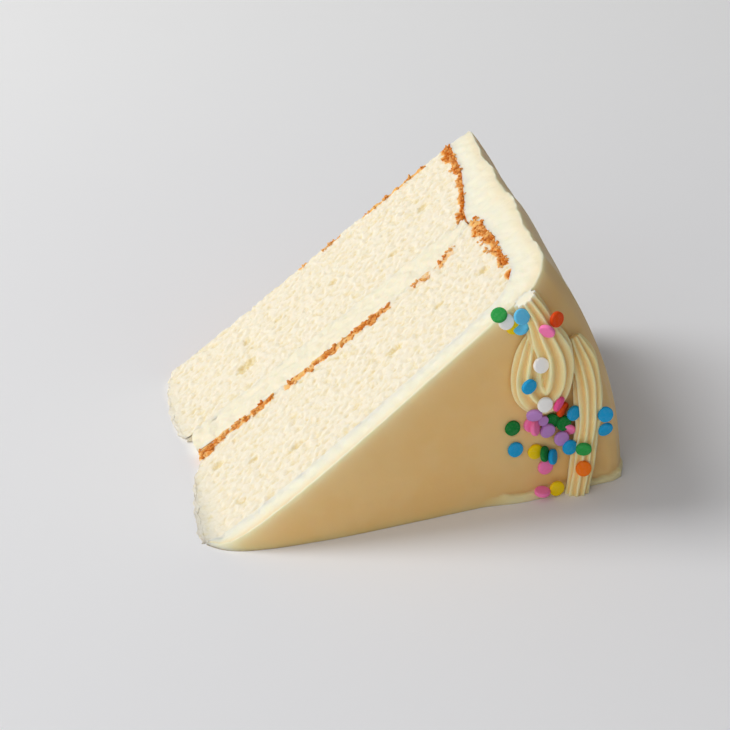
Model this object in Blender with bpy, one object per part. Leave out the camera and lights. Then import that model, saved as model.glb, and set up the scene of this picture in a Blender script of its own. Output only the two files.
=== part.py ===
"""One slice of a round two-layer birthday cake, lying on its lower cut face.

+X runs along the lower cut from the slice's tip to its rim, -Y is the side of
the cake's frosted top, +Z is up, and the origin is under the slice's middle.

Profiles are drawn in millimetres as (radius, depth). Radius is measured from
the cake's axis. Depth is measured from the rim of the cake's top down to its
base, so it runs along +Y here. A turn of 0 is the lower cut, and a turn of 1
is the upper cut.
"""
import math
import random

import bmesh
import bpy
from mathutils import Matrix, Vector
from mathutils.bvhtree import BVHTree

MM = 0.001

# Driving dimensions of the slice
SLICE_ANGLE = math.radians(36.0)
RIM_RADIUS_LOWER = 117.6
RIM_RADIUS_UPPER = 115.0
BASE_RADIUS = 121.0
SEAM_GAP = 0.3
NOSE_HEIGHT = 1.2
TURNS = (0.0, 0.035, 0.09, 0.18, 0.27, 0.36, 0.45, 0.54, 0.63, 0.72, 0.81, 0.9, 1.0)

# The domed top of the frosting
DOME_RISE = 10.6
DOME_SLOPE = 0.125
DOME_FLAT_RADIUS = 30.0
DOME_BLEND = 16.0
TIP_RADIUS = -3.5
TIP_DROP = 6.4
TIP_FADE = 5.0
LOWER_SLUMP = -0.8
UPPER_SLUMP = 0.3
TOP_FROSTING = 7.3

# The cut-back rim, from its start on the top to its end on the side
RIM_START_LOWER = 112.5
RIM_START_UPPER = 108.0
RIM_END_LOWER = 4.0
RIM_END_UPPER = 9.0
RIM_BULGE = 0.7

# Where the sponges, the filling and the side frosting meet
TOP_SPONGE_BASE = 39.2
SAG_START = 91.0
SAGGED_EDGE = 45.8
BOTTOM_SPONGE_TOP = 50.0
FILLING_RADIUS = 102.5
BASE_DEPTH_AT_AXIS = 86.8
BASE_SLOPE = 0.036

# A torn ridge of frosting along the lower cut, near the rim
LIP_START = 72.0
LIP_END = 100.0
LIP_TURN = 0.035
LIP_HEIGHT = 0.9

# Crumbling of the sponge at the tip
CRUMBLE = 0.7
CRUMBLE_SEED = 11

# Piped shells, squeezed through a star nozzle
RIDGES = 10
POINTS_PER_RIDGE = 4
GROOVE_DEPTH = 0.27
RIDGE_SHARPNESS = 1.4
SHELL_FLATNESS = 0.8
SHELL_STEP = 1.5

# Knots of each shell's middle line: across, up, lift off the frosting, radius
HOOK_SHELL = (
    (86.4, 51.0, 1.0, 1.6), (85.4, 45.6, 2.2, 3.8), (84.6, 40.0, 2.6, 4.7), (86.0, 34.5, 2.8, 4.9),
    (89.6, 31.6, 3.0, 5.0), (93.2, 33.4, 3.3, 5.0), (94.1, 38.5, 3.4, 5.0), (93.1, 45.2, 3.2, 4.8),
    (89.8, 51.3, 2.6, 4.6), (87.2, 56.1, 2.0, 4.0), (84.7, 60.3, 1.3, 3.5), (81.6, 65.6, 0.8, 3.1),
)
TAIL_SHELL = (
    (101.0, -6.0, 2.4, 3.7), (101.5, 2.0, 2.4, 3.7), (102.6, 12.0, 2.4, 3.7), (103.5, 22.0, 2.4, 3.8),
    (103.1, 32.0, 2.3, 4.3), (101.4, 40.0, 2.0, 4.2), (99.6, 45.0, 1.6, 3.4), (98.6, 47.6, 1.1, 2.4),
)

# The body that trims the piping's underside
CUTTER_RADIUS = 70.0
CUTTER_DEPTH = 40.0
CUTTER_TURNS = (-0.05, *TURNS, 1.05)

# Confetti sprinkles, and their places: across, up, lean to the right, nod down, lift
SPRINKLE_RADIUS = 2.2
SPRINKLE_THICKNESS = 1.3
SPRINKLE_SIDES = 8
SPRINKLE_SINK = 0.35
SPRINKLE_PROBE = 1.4
SPRINKLES_ON_TOP = (
    (77.4, 57.0, -12.0, -22.0, 0.0), (79.2, 55.1, 7.0, -10.0, 0.0), (81.5, 53.3, 7.0, -2.0, 0.0),
    (81.7, 23.1, 7.0, -2.0, 0.0), (82.7, 16.3, 7.0, -2.0, 0.0), (88.7, 14.4, 7.0, -2.0, 0.0),
    (89.5, 13.4, 51.0, -12.0, 0.6), (92.0, 12.0, 51.0, -12.0, 0.6), (91.9, 8.9, 7.0, -2.0, 0.0),
    (90.6, 0.7, 0.0, -86.0, 0.0), (94.7, 2.4, 7.0, -2.0, 0.0),
)
SPRINKLES_ON_PIPING = (
    (83.0, 55.2, 14.0, -39.0, 0.0), (83.5, 53.5, 5.0, 18.0, 0.0), (91.5, 55.5, 23.0, -6.0, 0.0),
    (89.6, 54.4, -30.0, 17.0, 0.4), (87.7, 43.6, 5.0, -12.0, 0.0), (84.1, 38.3, 15.0, 5.0, 0.0),
    (88.5, 32.7, 7.0, -2.0, 0.0), (91.7, 32.3, 32.0, 11.0, 0.5), (94.9, 25.7, 31.0, 11.0, 0.0),
    (98.3, 25.4, 20.0, 0.0, 0.0), (86.4, 29.1, -10.0, 24.0, 0.3), (87.2, 23.1, 7.0, -2.0, 0.0),
    (86.1, 22.2, 50.0, -12.0, 1.2), (90.3, 24.1, 7.0, -2.0, 0.9), (91.7, 21.0, 7.0, 8.0, 0.8),
    (96.5, 22.1, 7.0, -2.0, 1.0), (93.3, 23.1, 7.0, -2.0, 0.2), (98.5, 20.4, -25.0, 30.0, 0.3),
    (95.8, 17.7, 7.0, -2.0, 1.2), (98.0, 14.9, 7.0, -2.0, 0.0), (107.9, 23.2, -2.0, -15.0, 0.2),
    (101.6, 15.6, -15.0, 15.0, 0.0), (101.7, 9.0, 7.0, -2.0, 0.0), (107.4, 20.9, 10.0, 17.0, 0.2),
)


def remove_everything():
    """Clear the objects that the scene starts with."""
    for thing in list(bpy.data.objects):
        bpy.data.objects.remove(thing, do_unlink=True)


def make_material(name, colour, roughness):
    """Return a Principled material of one colour."""
    material = bpy.data.materials.new(name)
    material.use_nodes = True
    shader = material.node_tree.nodes["Principled BSDF"]
    shader.inputs["Base Color"].default_value = (*colour, 1.0)
    shader.inputs["Roughness"].default_value = roughness
    shader.inputs["Metallic"].default_value = 0.0
    return material


def mix(low, high, share):
    """Return the value that lies the given share of the way up."""
    return low + (high - low) * share


def place(radius, depth, turn):
    """Return the point of the slice at a radius, a depth and a turn.

    Both cuts are flat. Near the tip the slice keeps a blunt nose, so that the
    two cuts never quite meet.
    """
    rise = radius * math.sin(SLICE_ANGLE)
    upper_height = 0.5 * (rise + math.hypot(rise, 2.0 * NOSE_HEIGHT))
    angle = turn * SLICE_ANGLE
    inward = (1.0 - math.cos(angle)) / (1.0 - math.cos(SLICE_ANGLE))
    upward = math.sin(angle) / math.sin(SLICE_ANGLE)
    across = mix(radius, radius * math.cos(SLICE_ANGLE), inward)
    return Vector((across, depth, upper_height * upward)) * MM


def dome_depth(radius):
    """Return the depth of the cake's domed top, without its frosting's edges."""
    beyond = radius - DOME_FLAT_RADIUS
    slope_run = 0.5 * (beyond + math.hypot(beyond, DOME_BLEND))
    return DOME_SLOPE * slope_run - DOME_RISE


def frosted_depth(radius, turn):
    """Return the depth of the frosting's top face, out to the rim's start."""
    tip_drop = TIP_DROP * math.exp((TIP_RADIUS - radius) / TIP_FADE)
    slump = mix(LOWER_SLUMP, UPPER_SLUMP, turn)
    lip = 0.0
    if LIP_START < radius < LIP_END and turn <= LIP_TURN:
        lip = LIP_HEIGHT * math.sin(math.pi * (radius - LIP_START) / (LIP_END - LIP_START))
    return dome_depth(radius) + tip_drop + slump - lip


def rim_line(turn, lift=0.0):
    """Return the cut-back rim's points, raised by lift from the frosting."""
    start_radius = mix(RIM_START_LOWER, RIM_START_UPPER, turn)
    start_depth = frosted_depth(start_radius, turn) - lift
    end_radius = mix(RIM_RADIUS_LOWER, RIM_RADIUS_UPPER, turn)
    end_depth = mix(RIM_END_LOWER, RIM_END_UPPER, turn)
    middle_radius = 0.5 * (start_radius + end_radius) + RIM_BULGE + 0.7 * lift
    middle_depth = 0.5 * (start_depth + end_depth) - RIM_BULGE
    return [
        (start_radius + 0.4 * lift, start_depth),
        (middle_radius, middle_depth),
        (end_radius + lift, end_depth),
    ]


def top_depth(radius, turn):
    """Return the depth of the frosting at any radius, on the top or the rim."""
    line = rim_line(turn)
    if radius <= line[0][0]:
        return frosted_depth(radius, turn)
    for (near, near_depth), (far, far_depth) in zip(line, line[1:]):
        if radius <= far:
            return mix(near_depth, far_depth, (radius - near) / (far - near))
    return line[-1][1]


def spread(first, last, count):
    """Return evenly spaced values from first to last, count steps apart."""
    return [mix(first, last, index / count) for index in range(count + 1)]


def base_depth(radius):
    """Return the depth of the cake's base, which sags towards the rim."""
    return BASE_DEPTH_AT_AXIS + BASE_SLOPE * radius


def coat_profile(turn):
    """Outline the frosting: over the top, down the side and back inside."""
    last_top = mix(RIM_START_LOWER, RIM_START_UPPER, turn) - 1.5
    outline = []
    for radius in spread(TIP_RADIUS, last_top, 34):
        outline.append((radius, frosted_depth(radius, turn)))
    outline += rim_line(turn)
    late = math.sqrt(turn)
    outline += [(mix(118.4, 116.3, late), 20.0), (mix(118.9, 117.5, late), 31.0)]
    outline += [(118.9, 46.0), (119.2, 60.0), (119.5, 76.0), (BASE_RADIUS, base_depth(BASE_RADIUS) - 1.2)]
    outline += [(113.6, base_depth(113.6)), (112.7, 82.0), (111.3, 72.0), (109.4, 66.0)]
    outline += [(107.4, 59.0), (105.3, 54.0), (103.5, BOTTOM_SPONGE_TOP)]
    outline += [(FILLING_RADIUS + SEAM_GAP, BOTTOM_SPONGE_TOP - SEAM_GAP)]
    outline += [(FILLING_RADIUS + SEAM_GAP, SAGGED_EDGE + SEAM_GAP)]
    outline += [(107.8, SAGGED_EDGE + 1.5), (107.4, 30.0), (106.4, 14.0), (103.4, 9.4)]
    for radius in spread(97.0, TIP_RADIUS, 16):
        outline.append((radius, dome_depth(radius) + TOP_FROSTING))
    return outline


def crumbled(edge, turn, seed):
    """Roughen the radii of a sponge's edge at the tip, the same way each run."""
    draw = random.Random(seed * 100 + round(turn * 50))
    return [(radius + draw.uniform(-CRUMBLE, CRUMBLE), depth) for radius, depth in edge]


def top_sponge_profile(turn):
    """Outline the upper sponge, from its tip along its top and down its side."""
    start = TIP_RADIUS - 1.2
    under = TOP_FROSTING + SEAM_GAP
    outline = [(radius, dome_depth(radius) + under) for radius in spread(start, 97.0, 16)]
    outline += [(103.2, 9.7), (106.1, 14.1), (107.1, 30.0), (107.4, SAGGED_EDGE + 1.0)]
    outline.append((FILLING_RADIUS, SAGGED_EDGE))
    outline += [(radius, TOP_SPONGE_BASE) for radius in spread(SAG_START, 12.0, 7)]
    tip = [(3.6, TOP_SPONGE_BASE), (3.2, 34.0), (0.2, 29.0), (-1.6, 23.0)]
    tip += [(-2.6, 17.0), (-3.6, 11.0), (-4.2, 5.0)]
    return outline + crumbled(tip, turn, CRUMBLE_SEED)


def filling_profile(turn):
    """Outline the filling between the two sponges."""
    upper = TOP_SPONGE_BASE + SEAM_GAP
    lower = BOTTOM_SPONGE_TOP - SEAM_GAP
    squeeze = 0.5 * math.sin(5.0 * turn)
    outline = [(radius, upper) for radius in spread(4.0 + squeeze, SAG_START, 8)]
    outline.append((FILLING_RADIUS, SAGGED_EDGE + SEAM_GAP))
    outline += [(radius, lower) for radius in spread(FILLING_RADIUS, 3.0 + squeeze, 8)]
    outline.append((2.4 + squeeze, 0.5 * (upper + lower)))
    return outline


def bottom_sponge_profile(turn):
    """Outline the lower sponge, whose side leans out towards its base."""
    outline = [(radius, BOTTOM_SPONGE_TOP) for radius in spread(8.0, 96.0, 7)]
    outline += [(103.1, BOTTOM_SPONGE_TOP + 0.1), (104.9, 54.1), (107.0, 59.1), (109.0, 66.1)]
    outline += [(110.9, 72.1), (112.3, 82.0), (113.2, base_depth(113.2))]
    outline += [(radius, base_depth(radius)) for radius in spread(106.0, 12.0, 12)]
    tip = [(5.5, 86.3), (2.2, 83.0), (0.6, 76.0), (-0.6, 68.0), (-0.9, 60.0), (-0.2, 54.0)]
    return outline + crumbled(tip, turn, CRUMBLE_SEED + 1) + [(1.0, BOTTOM_SPONGE_TOP)]


def mesh_object(name, mesh_builder, material):
    """Link a named object whose mesh comes from a bmesh, faces pointing out."""
    bmesh.ops.recalc_face_normals(mesh_builder, faces=mesh_builder.faces)
    mesh = bpy.data.meshes.new(name)
    mesh_builder.to_mesh(mesh)
    mesh_builder.free()
    mesh.materials.append(material)
    thing = bpy.data.objects.new(name, mesh)
    bpy.context.scene.collection.objects.link(thing)
    return thing


def skin_rings(mesh_builder, rings):
    """Join rings of points into one closed skin with a face at each end."""
    loops = [[mesh_builder.verts.new(point) for point in ring] for ring in rings]
    for near, far in zip(loops, loops[1:]):
        count = len(near)
        for index in range(count):
            after = (index + 1) % count
            mesh_builder.faces.new((near[index], near[after], far[after], far[index]))
    mesh_builder.faces.new(loops[0])
    mesh_builder.faces.new(loops[-1])


def sweep_slice(name, profile, material, turns=TURNS):
    """Sweep a profile round from the lower cut to the upper cut."""
    builder = bmesh.new()
    rings = []
    for turn in turns:
        rings.append([place(radius, depth, turn) for radius, depth in profile(turn)])
    skin_rings(builder, rings)
    return mesh_object(name, builder, material)


def smooth_path(knots, step):
    """Return evenly stepped samples of the smooth curve through the knots."""
    samples = []
    for index in range(len(knots) - 1):
        before = knots[max(index - 1, 0)]
        start = knots[index]
        end = knots[index + 1]
        after = knots[min(index + 2, len(knots) - 1)]
        length = math.hypot(end[0] - start[0], end[1] - start[1])
        count = max(2, round(length / step))
        for part in range(count):
            share = part / count
            samples.append(spline_point(before, start, end, after, share))
    samples.append(knots[-1])
    return samples


def spline_point(before, start, end, after, share):
    """Return one point of a curve that passes through start and end."""
    point = []
    for a, b, c, d in zip(before, start, end, after):
        value = 2.0 * b + (c - a) * share
        value += (2.0 * a - 5.0 * b + 4.0 * c - d) * share ** 2
        value += (3.0 * b - a - 3.0 * c + d) * share ** 3
        point.append(0.5 * value)
    return tuple(point)


def shell_centre(across, up, lift):
    """Return a point that stands lift millimetres in front of the frosting."""
    radius = math.hypot(across, up)
    turn = min(max(math.atan2(up, across) / SLICE_ANGLE, 0.0), 1.0)
    return Vector((across, top_depth(radius, turn) - lift, up))


def star_ring(centre, ahead, radius):
    """Return one ring of the star section, square to the way ahead."""
    outward = Vector((0.0, -1.0, 0.0))
    side = ahead.cross(outward).normalized()
    face = side.cross(ahead).normalized()
    count = RIDGES * POINTS_PER_RIDGE
    ring = []
    for index in range(count):
        angle = 2.0 * math.pi * index / count
        crest = (0.5 + 0.5 * math.cos(RIDGES * angle)) ** RIDGE_SHARPNESS
        reach = radius * (1.0 - GROOVE_DEPTH * (1.0 - crest))
        offset = side * math.cos(angle) + face * SHELL_FLATNESS * math.sin(angle)
        ring.append((centre + offset * reach) * MM)
    return ring


def piped_shell(name, knots, material):
    """Pipe one ridged shell along knots of (across, up, lift, radius)."""
    samples = smooth_path(knots, SHELL_STEP)
    centres = [shell_centre(across, up, lift) for across, up, lift, radius in samples]
    rings = []
    for index, centre in enumerate(centres):
        behind = centres[max(index - 1, 0)]
        beyond = centres[min(index + 1, len(centres) - 1)]
        ahead = (beyond - behind).normalized()
        rings.append(star_ring(centre, ahead, samples[index][3]))
    builder = bmesh.new()
    skin_rings(builder, rings)
    trim_to_slice(builder)
    return mesh_object(name, builder, material)


def trim_to_slice(builder):
    """Cut a piped shell off at the lower and the upper cut."""
    upper_normal = Vector((-math.sin(SLICE_ANGLE), 0.0, math.cos(SLICE_ANGLE)))
    for normal in (Vector((0.0, 0.0, -1.0)), upper_normal):
        parts = builder.verts[:] + builder.edges[:] + builder.faces[:]
        cut = bmesh.ops.bisect_plane(
            builder, geom=parts, plane_co=(0.0, 0.0, 0.0), plane_no=normal, clear_outer=True
        )
        open_edges = [part for part in cut["geom_cut"] if isinstance(part, bmesh.types.BMEdge)]
        if open_edges:
            bmesh.ops.holes_fill(builder, edges=open_edges, sides=0)


def combine(target, others, operation, solver="EXACT"):
    """Apply one Boolean of the target with all the others, then drop them."""
    group = bpy.data.collections.new("operands")
    bpy.context.scene.collection.children.link(group)
    for other in others:
        group.objects.link(other)
    change = target.modifiers.new("combine", "BOOLEAN")
    change.operation = operation
    change.operand_type = "COLLECTION"
    change.collection = group
    change.solver = solver
    bpy.context.view_layer.update()
    evaluated = target.evaluated_get(bpy.context.evaluated_depsgraph_get())
    result = bpy.data.meshes.new_from_object(evaluated)
    target.modifiers.clear()
    target.data = result
    for other in others:
        bpy.data.objects.remove(other, do_unlink=True)
    bpy.data.collections.remove(group)


def frosting_cutter(material):
    """Make the body that trims the piping, one seam gap outside the frosting."""
    inner = CUTTER_RADIUS

    def profile(turn):
        last_top = mix(RIM_START_LOWER, RIM_START_UPPER, turn) - 1.5
        outline = []
        for radius in spread(inner, last_top, 12):
            outline.append((radius, frosted_depth(radius, turn) - SEAM_GAP))
        outline += rim_line(turn, SEAM_GAP)
        outline += [(BASE_RADIUS, CUTTER_DEPTH), (inner, CUTTER_DEPTH)]
        return outline

    return sweep_slice("frosting_cutter", profile, material, CUTTER_TURNS)


def surface_tree(thing):
    """Return a search tree of an object's faces, in its own coordinates."""
    corners = [vertex.co.copy() for vertex in thing.data.vertices]
    return BVHTree.FromPolygons(corners, [face.vertices[:] for face in thing.data.polygons])


def covered_points(trees, across, up):
    """Return the surface points that a sprinkle at a place in front of it covers."""
    points = []
    reach = SPRINKLE_PROBE
    for step_across, step_up in ((0.0, 0.0), (reach, 0.0), (-reach, 0.0), (0.0, reach), (0.0, -reach)):
        start = Vector((across + step_across, -50.0, up + step_up)) * MM
        hits = [tree.ray_cast(start, Vector((0.0, 1.0, 0.0))) for tree in trees]
        hits = [hit for hit in hits if hit[0] is not None]
        if hits:
            points.append(min(hits, key=lambda hit: hit[3])[0])
    return points


def confetti(name, trees, across, up, lean, nod, lift, material):
    """Lay one flat round sprinkle on the highest point that it covers."""
    nodding = Matrix.Rotation(math.radians(nod), 3, "X")
    facing = Matrix.Rotation(math.radians(lean), 3, "Z") @ nodding @ Vector((0.0, -1.0, 0.0))
    points = covered_points(trees, across, up)
    highest = max(facing.dot(point - points[0]) for point in points)
    centre = points[0] + facing * (highest + (0.5 * SPRINKLE_THICKNESS - SPRINKLE_SINK + lift) * MM)
    builder = bmesh.new()
    turn_to_face = facing.to_track_quat("Z", "Y").to_matrix().to_4x4()
    bmesh.ops.create_cone(
        builder, cap_ends=True, segments=SPRINKLE_SIDES,
        radius1=SPRINKLE_RADIUS * MM, radius2=SPRINKLE_RADIUS * MM,
        depth=SPRINKLE_THICKNESS * MM, matrix=Matrix.Translation(centre) @ turn_to_face,
    )
    return mesh_object(name, builder, material)


def scatter(target, trees, places, solver, material):
    """Fuse the sprinkles at the given places to the target."""
    pieces = [confetti("sprinkle", trees, *spot, material) for spot in places]
    combine(target, pieces, "UNION", solver)


def centre_on_origin(things):
    """Move the objects so that the origin lies under the middle of them all."""
    corners = [vertex.co for thing in things for vertex in thing.data.vertices]
    middle_across = 0.5 * (min(c.x for c in corners) + max(c.x for c in corners))
    middle_depth = 0.5 * (min(c.y for c in corners) + max(c.y for c in corners))
    for thing in things:
        thing.data.transform(Matrix.Translation((-middle_across, -middle_depth, 0.0)))


def main():
    """Build the slice."""
    remove_everything()
    sponge = make_material("sponge", (0.87, 0.76, 0.50), 0.85)
    cream = make_material("buttercream", (0.84, 0.72, 0.44), 0.5)
    bottom_layer = sweep_slice("bottom_layer", bottom_sponge_profile, sponge)
    filling = sweep_slice("filling", filling_profile, cream)
    top_layer = sweep_slice("top_layer", top_sponge_profile, sponge)
    coat = sweep_slice("frosting_coat", coat_profile, cream)
    border = piped_shell("piped_border", HOOK_SHELL, cream)
    tail = piped_shell("tail_shell", TAIL_SHELL, cream)
    coat_trees = [surface_tree(coat)]
    border_trees = coat_trees + [surface_tree(border), surface_tree(tail)]
    scatter(coat, coat_trees, SPRINKLES_ON_TOP, "EXACT", cream)
    combine(border, [tail], "UNION", "MANIFOLD")
    scatter(border, border_trees, SPRINKLES_ON_PIPING, "MANIFOLD", cream)
    combine(border, [frosting_cutter(cream)], "DIFFERENCE", "MANIFOLD")
    centre_on_origin([bottom_layer, filling, top_layer, coat, border])


main()
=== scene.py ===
"""Dress one slice of a two-layer birthday cake that lies on its lower cut.

Shapes are worked out in the cake's own terms. A radius is measured from the
cake's axis, a depth from the rim of its top down to its base, and a turn runs
from the lower cut, 0, to the upper cut, 1. Lengths are millimetres until
SliceForm.place puts them in the frame, in metres.
"""
from __future__ import annotations

import logging
import math
from dataclasses import dataclass
from enum import Enum

import bmesh
import bpy
import numpy as np
from mathutils import Matrix, Vector, noise
from mathutils.bvhtree import BVHTree
from mathutils.kdtree import KDTree


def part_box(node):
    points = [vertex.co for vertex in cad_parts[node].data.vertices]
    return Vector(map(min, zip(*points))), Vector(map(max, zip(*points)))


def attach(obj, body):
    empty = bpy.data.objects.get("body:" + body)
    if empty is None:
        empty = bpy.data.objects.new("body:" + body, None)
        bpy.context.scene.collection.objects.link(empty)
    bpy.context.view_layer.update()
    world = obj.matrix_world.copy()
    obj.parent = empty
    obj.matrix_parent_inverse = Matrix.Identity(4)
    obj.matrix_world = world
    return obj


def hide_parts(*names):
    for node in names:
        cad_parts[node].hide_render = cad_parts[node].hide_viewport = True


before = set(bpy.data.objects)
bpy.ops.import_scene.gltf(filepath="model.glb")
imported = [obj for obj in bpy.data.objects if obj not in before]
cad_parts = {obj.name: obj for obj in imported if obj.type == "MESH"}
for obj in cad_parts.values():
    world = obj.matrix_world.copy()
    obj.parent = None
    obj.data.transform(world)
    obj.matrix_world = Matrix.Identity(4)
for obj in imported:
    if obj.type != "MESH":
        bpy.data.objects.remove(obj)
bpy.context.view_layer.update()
MM = 0.001
LOG = logging.getLogger("cake_slice")

Values = float | np.ndarray
Line = tuple[tuple[float, float], ...]
Steps = tuple[tuple[int, ...], ...]
Socket = bpy.types.NodeSocket


class SugarColour(Enum):
    """Colours of the confetti sprinkles, as sRGB hex values."""

    WHITE = "FFFEFB"
    YELLOW = "FAD600"
    ORANGE = "FF7A10"
    RED_ORANGE = "F2500C"
    PINK = "FF80BC"
    MAGENTA = "F6589A"
    LILAC = "BE8ACE"
    SKY_BLUE = "64C6F2"
    BLUE = "1CA4DE"
    LEAF_GREEN = "2CA048"
    GREEN = "0C7E34"


def linear_colour(code: str) -> tuple[float, float, float, float]:
    """Turn an sRGB hex value into a linear colour.

    Args:
        code: Six hexadecimal digits.

    Returns:
        Red, green, blue and an alpha of 1.
    """
    channels = [int(code[index:index + 2], 16) / 255.0 for index in (0, 2, 4)]
    red, green, blue = (
        value / 12.92 if value <= 0.04045 else ((value + 0.055) / 1.055) ** 2.4 for value in channels
    )
    return red, green, blue, 1.0


def mix(low: Values, high: Values, share: Values) -> Values:
    """Return the value, or the array of values, that lies the given share of the way up."""
    return low + (high - low) * share


def smooth_step(low: float, high: float, value: np.ndarray) -> np.ndarray:
    """Return 0 below low, 1 above high and a smooth rise between them."""
    share = np.clip((value - low) / (high - low), 0.0, 1.0)
    return share * share * (3.0 - 2.0 * share)


def hump(start: float, end: float, value: np.ndarray, fade: float) -> np.ndarray:
    """Return 1 between start and end, and fade to 0 outside them."""
    return smooth_step(start - fade, start, value) * (1.0 - smooth_step(end, end + fade, value))


def rough(points: np.ndarray, size: tuple[float, float, float], octaves: int) -> np.ndarray:
    """Sample fractal noise.

    Args:
        points: Positions in millimetres, one row each.
        size: Size of the noise's coarsest lumps along each axis, in millimetres.
        octaves: How many times finer noise is added.

    Returns:
        One value for each point, mostly between -1 and 1.
    """
    scaled = points / np.array(size)
    return np.array([noise.fractal(Vector(point), 0.9, 2.0, octaves) for point in scaled])


def tuft_noise(points: np.ndarray, size: tuple[float, float, float], octaves: int) -> np.ndarray:
    """Sample pillowy noise, from 0 in its creases up to about 1, at points in millimetres."""
    scaled = points / np.array(size)
    return np.array([noise.turbulence(Vector(point), octaves, True) for point in scaled])


def cells(points: np.ndarray, size: tuple[float, float, float]) -> np.ndarray:
    """Return each point's distance to the nearest cell centre, as a share of the cell's size."""
    scaled = points / np.array(size)
    return np.array([noise.voronoi(Vector(point))[0][0] for point in scaled])


def add_node(
    tree: bpy.types.NodeTree, kind: str, values: dict | None = None, links: dict | None = None, **settings
) -> bpy.types.Node:
    """Add a node with its settings and links.

    Args:
        tree: The material's node tree.
        kind: The node's type name.
        values: Values for its inputs, by name or index.
        links: Sockets to link to its inputs, by name or index.
        settings: Values for its own properties.

    Returns:
        The new node.
    """
    node = tree.nodes.new(kind)
    for name, value in settings.items():
        setattr(node, name, value)
    for name, value in (values or {}).items():
        node.inputs[name].default_value = value
    for name, socket in (links or {}).items():
        tree.links.new(socket, node.inputs[name])
    return node


def ramp(tree: bpy.types.NodeTree, source: Socket, low: float, high: float) -> Socket:
    """Turn a socket's values from low to high into 0 to 1, and return the new socket."""
    node = add_node(
        tree, "ShaderNodeMapRange", {"From Min": low, "From Max": high}, {"Value": source},
        interpolation_type="SMOOTHSTEP",
    )
    return node.outputs["Result"]


def blend_colours(
    tree: bpy.types.NodeTree, share: Socket, low: Socket | str, high: Socket | str
) -> Socket:
    """Mix two colours, each a socket or a hex value, by a share socket, and return the new socket.

    Args:
        tree: The material's node tree.
        share: How much of the second colour shows.
        low: The first colour.
        high: The second colour.

    Returns:
        The mixed colour's socket.
    """
    node = add_node(tree, "ShaderNodeMix", {}, {0: share}, data_type="RGBA")
    for index, colour in ((6, low), (7, high)):
        if isinstance(colour, str):
            node.inputs[index].default_value = linear_colour(colour)
        else:
            tree.links.new(colour, node.inputs[index])
    return node.outputs[2]


def new_material(
    name: str
) -> tuple[bpy.types.Material, bpy.types.NodeTree, bpy.types.ShaderNodeBsdfPrincipled]:
    """Add a material and return it with its node tree and its Principled shader.

    Args:
        name: The real material's name.

    Returns:
        The material, its node tree and its Principled shader.
    """
    material = bpy.data.materials.new(name)
    material.use_nodes = True
    tree = material.node_tree
    return material, tree, tree.nodes["Principled BSDF"]


def noise_socket(
    tree: bpy.types.NodeTree, place: Socket, size_mm: float, detail: float = 3.0, roughness: float = 0.6
) -> Socket:
    """Add object-space noise whose lumps have a real size, and return its value socket."""
    values = {"Scale": 1.0 / (size_mm * MM), "Detail": detail, "Roughness": roughness}
    return add_node(tree, "ShaderNodeTexNoise", values, {"Vector": place}).outputs[0]


def attribute_socket(tree: bpy.types.NodeTree, name: str) -> Socket:
    """Return the value socket of a point attribute."""
    return add_node(tree, "ShaderNodeAttribute", attribute_name=name).outputs["Fac"]


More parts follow.
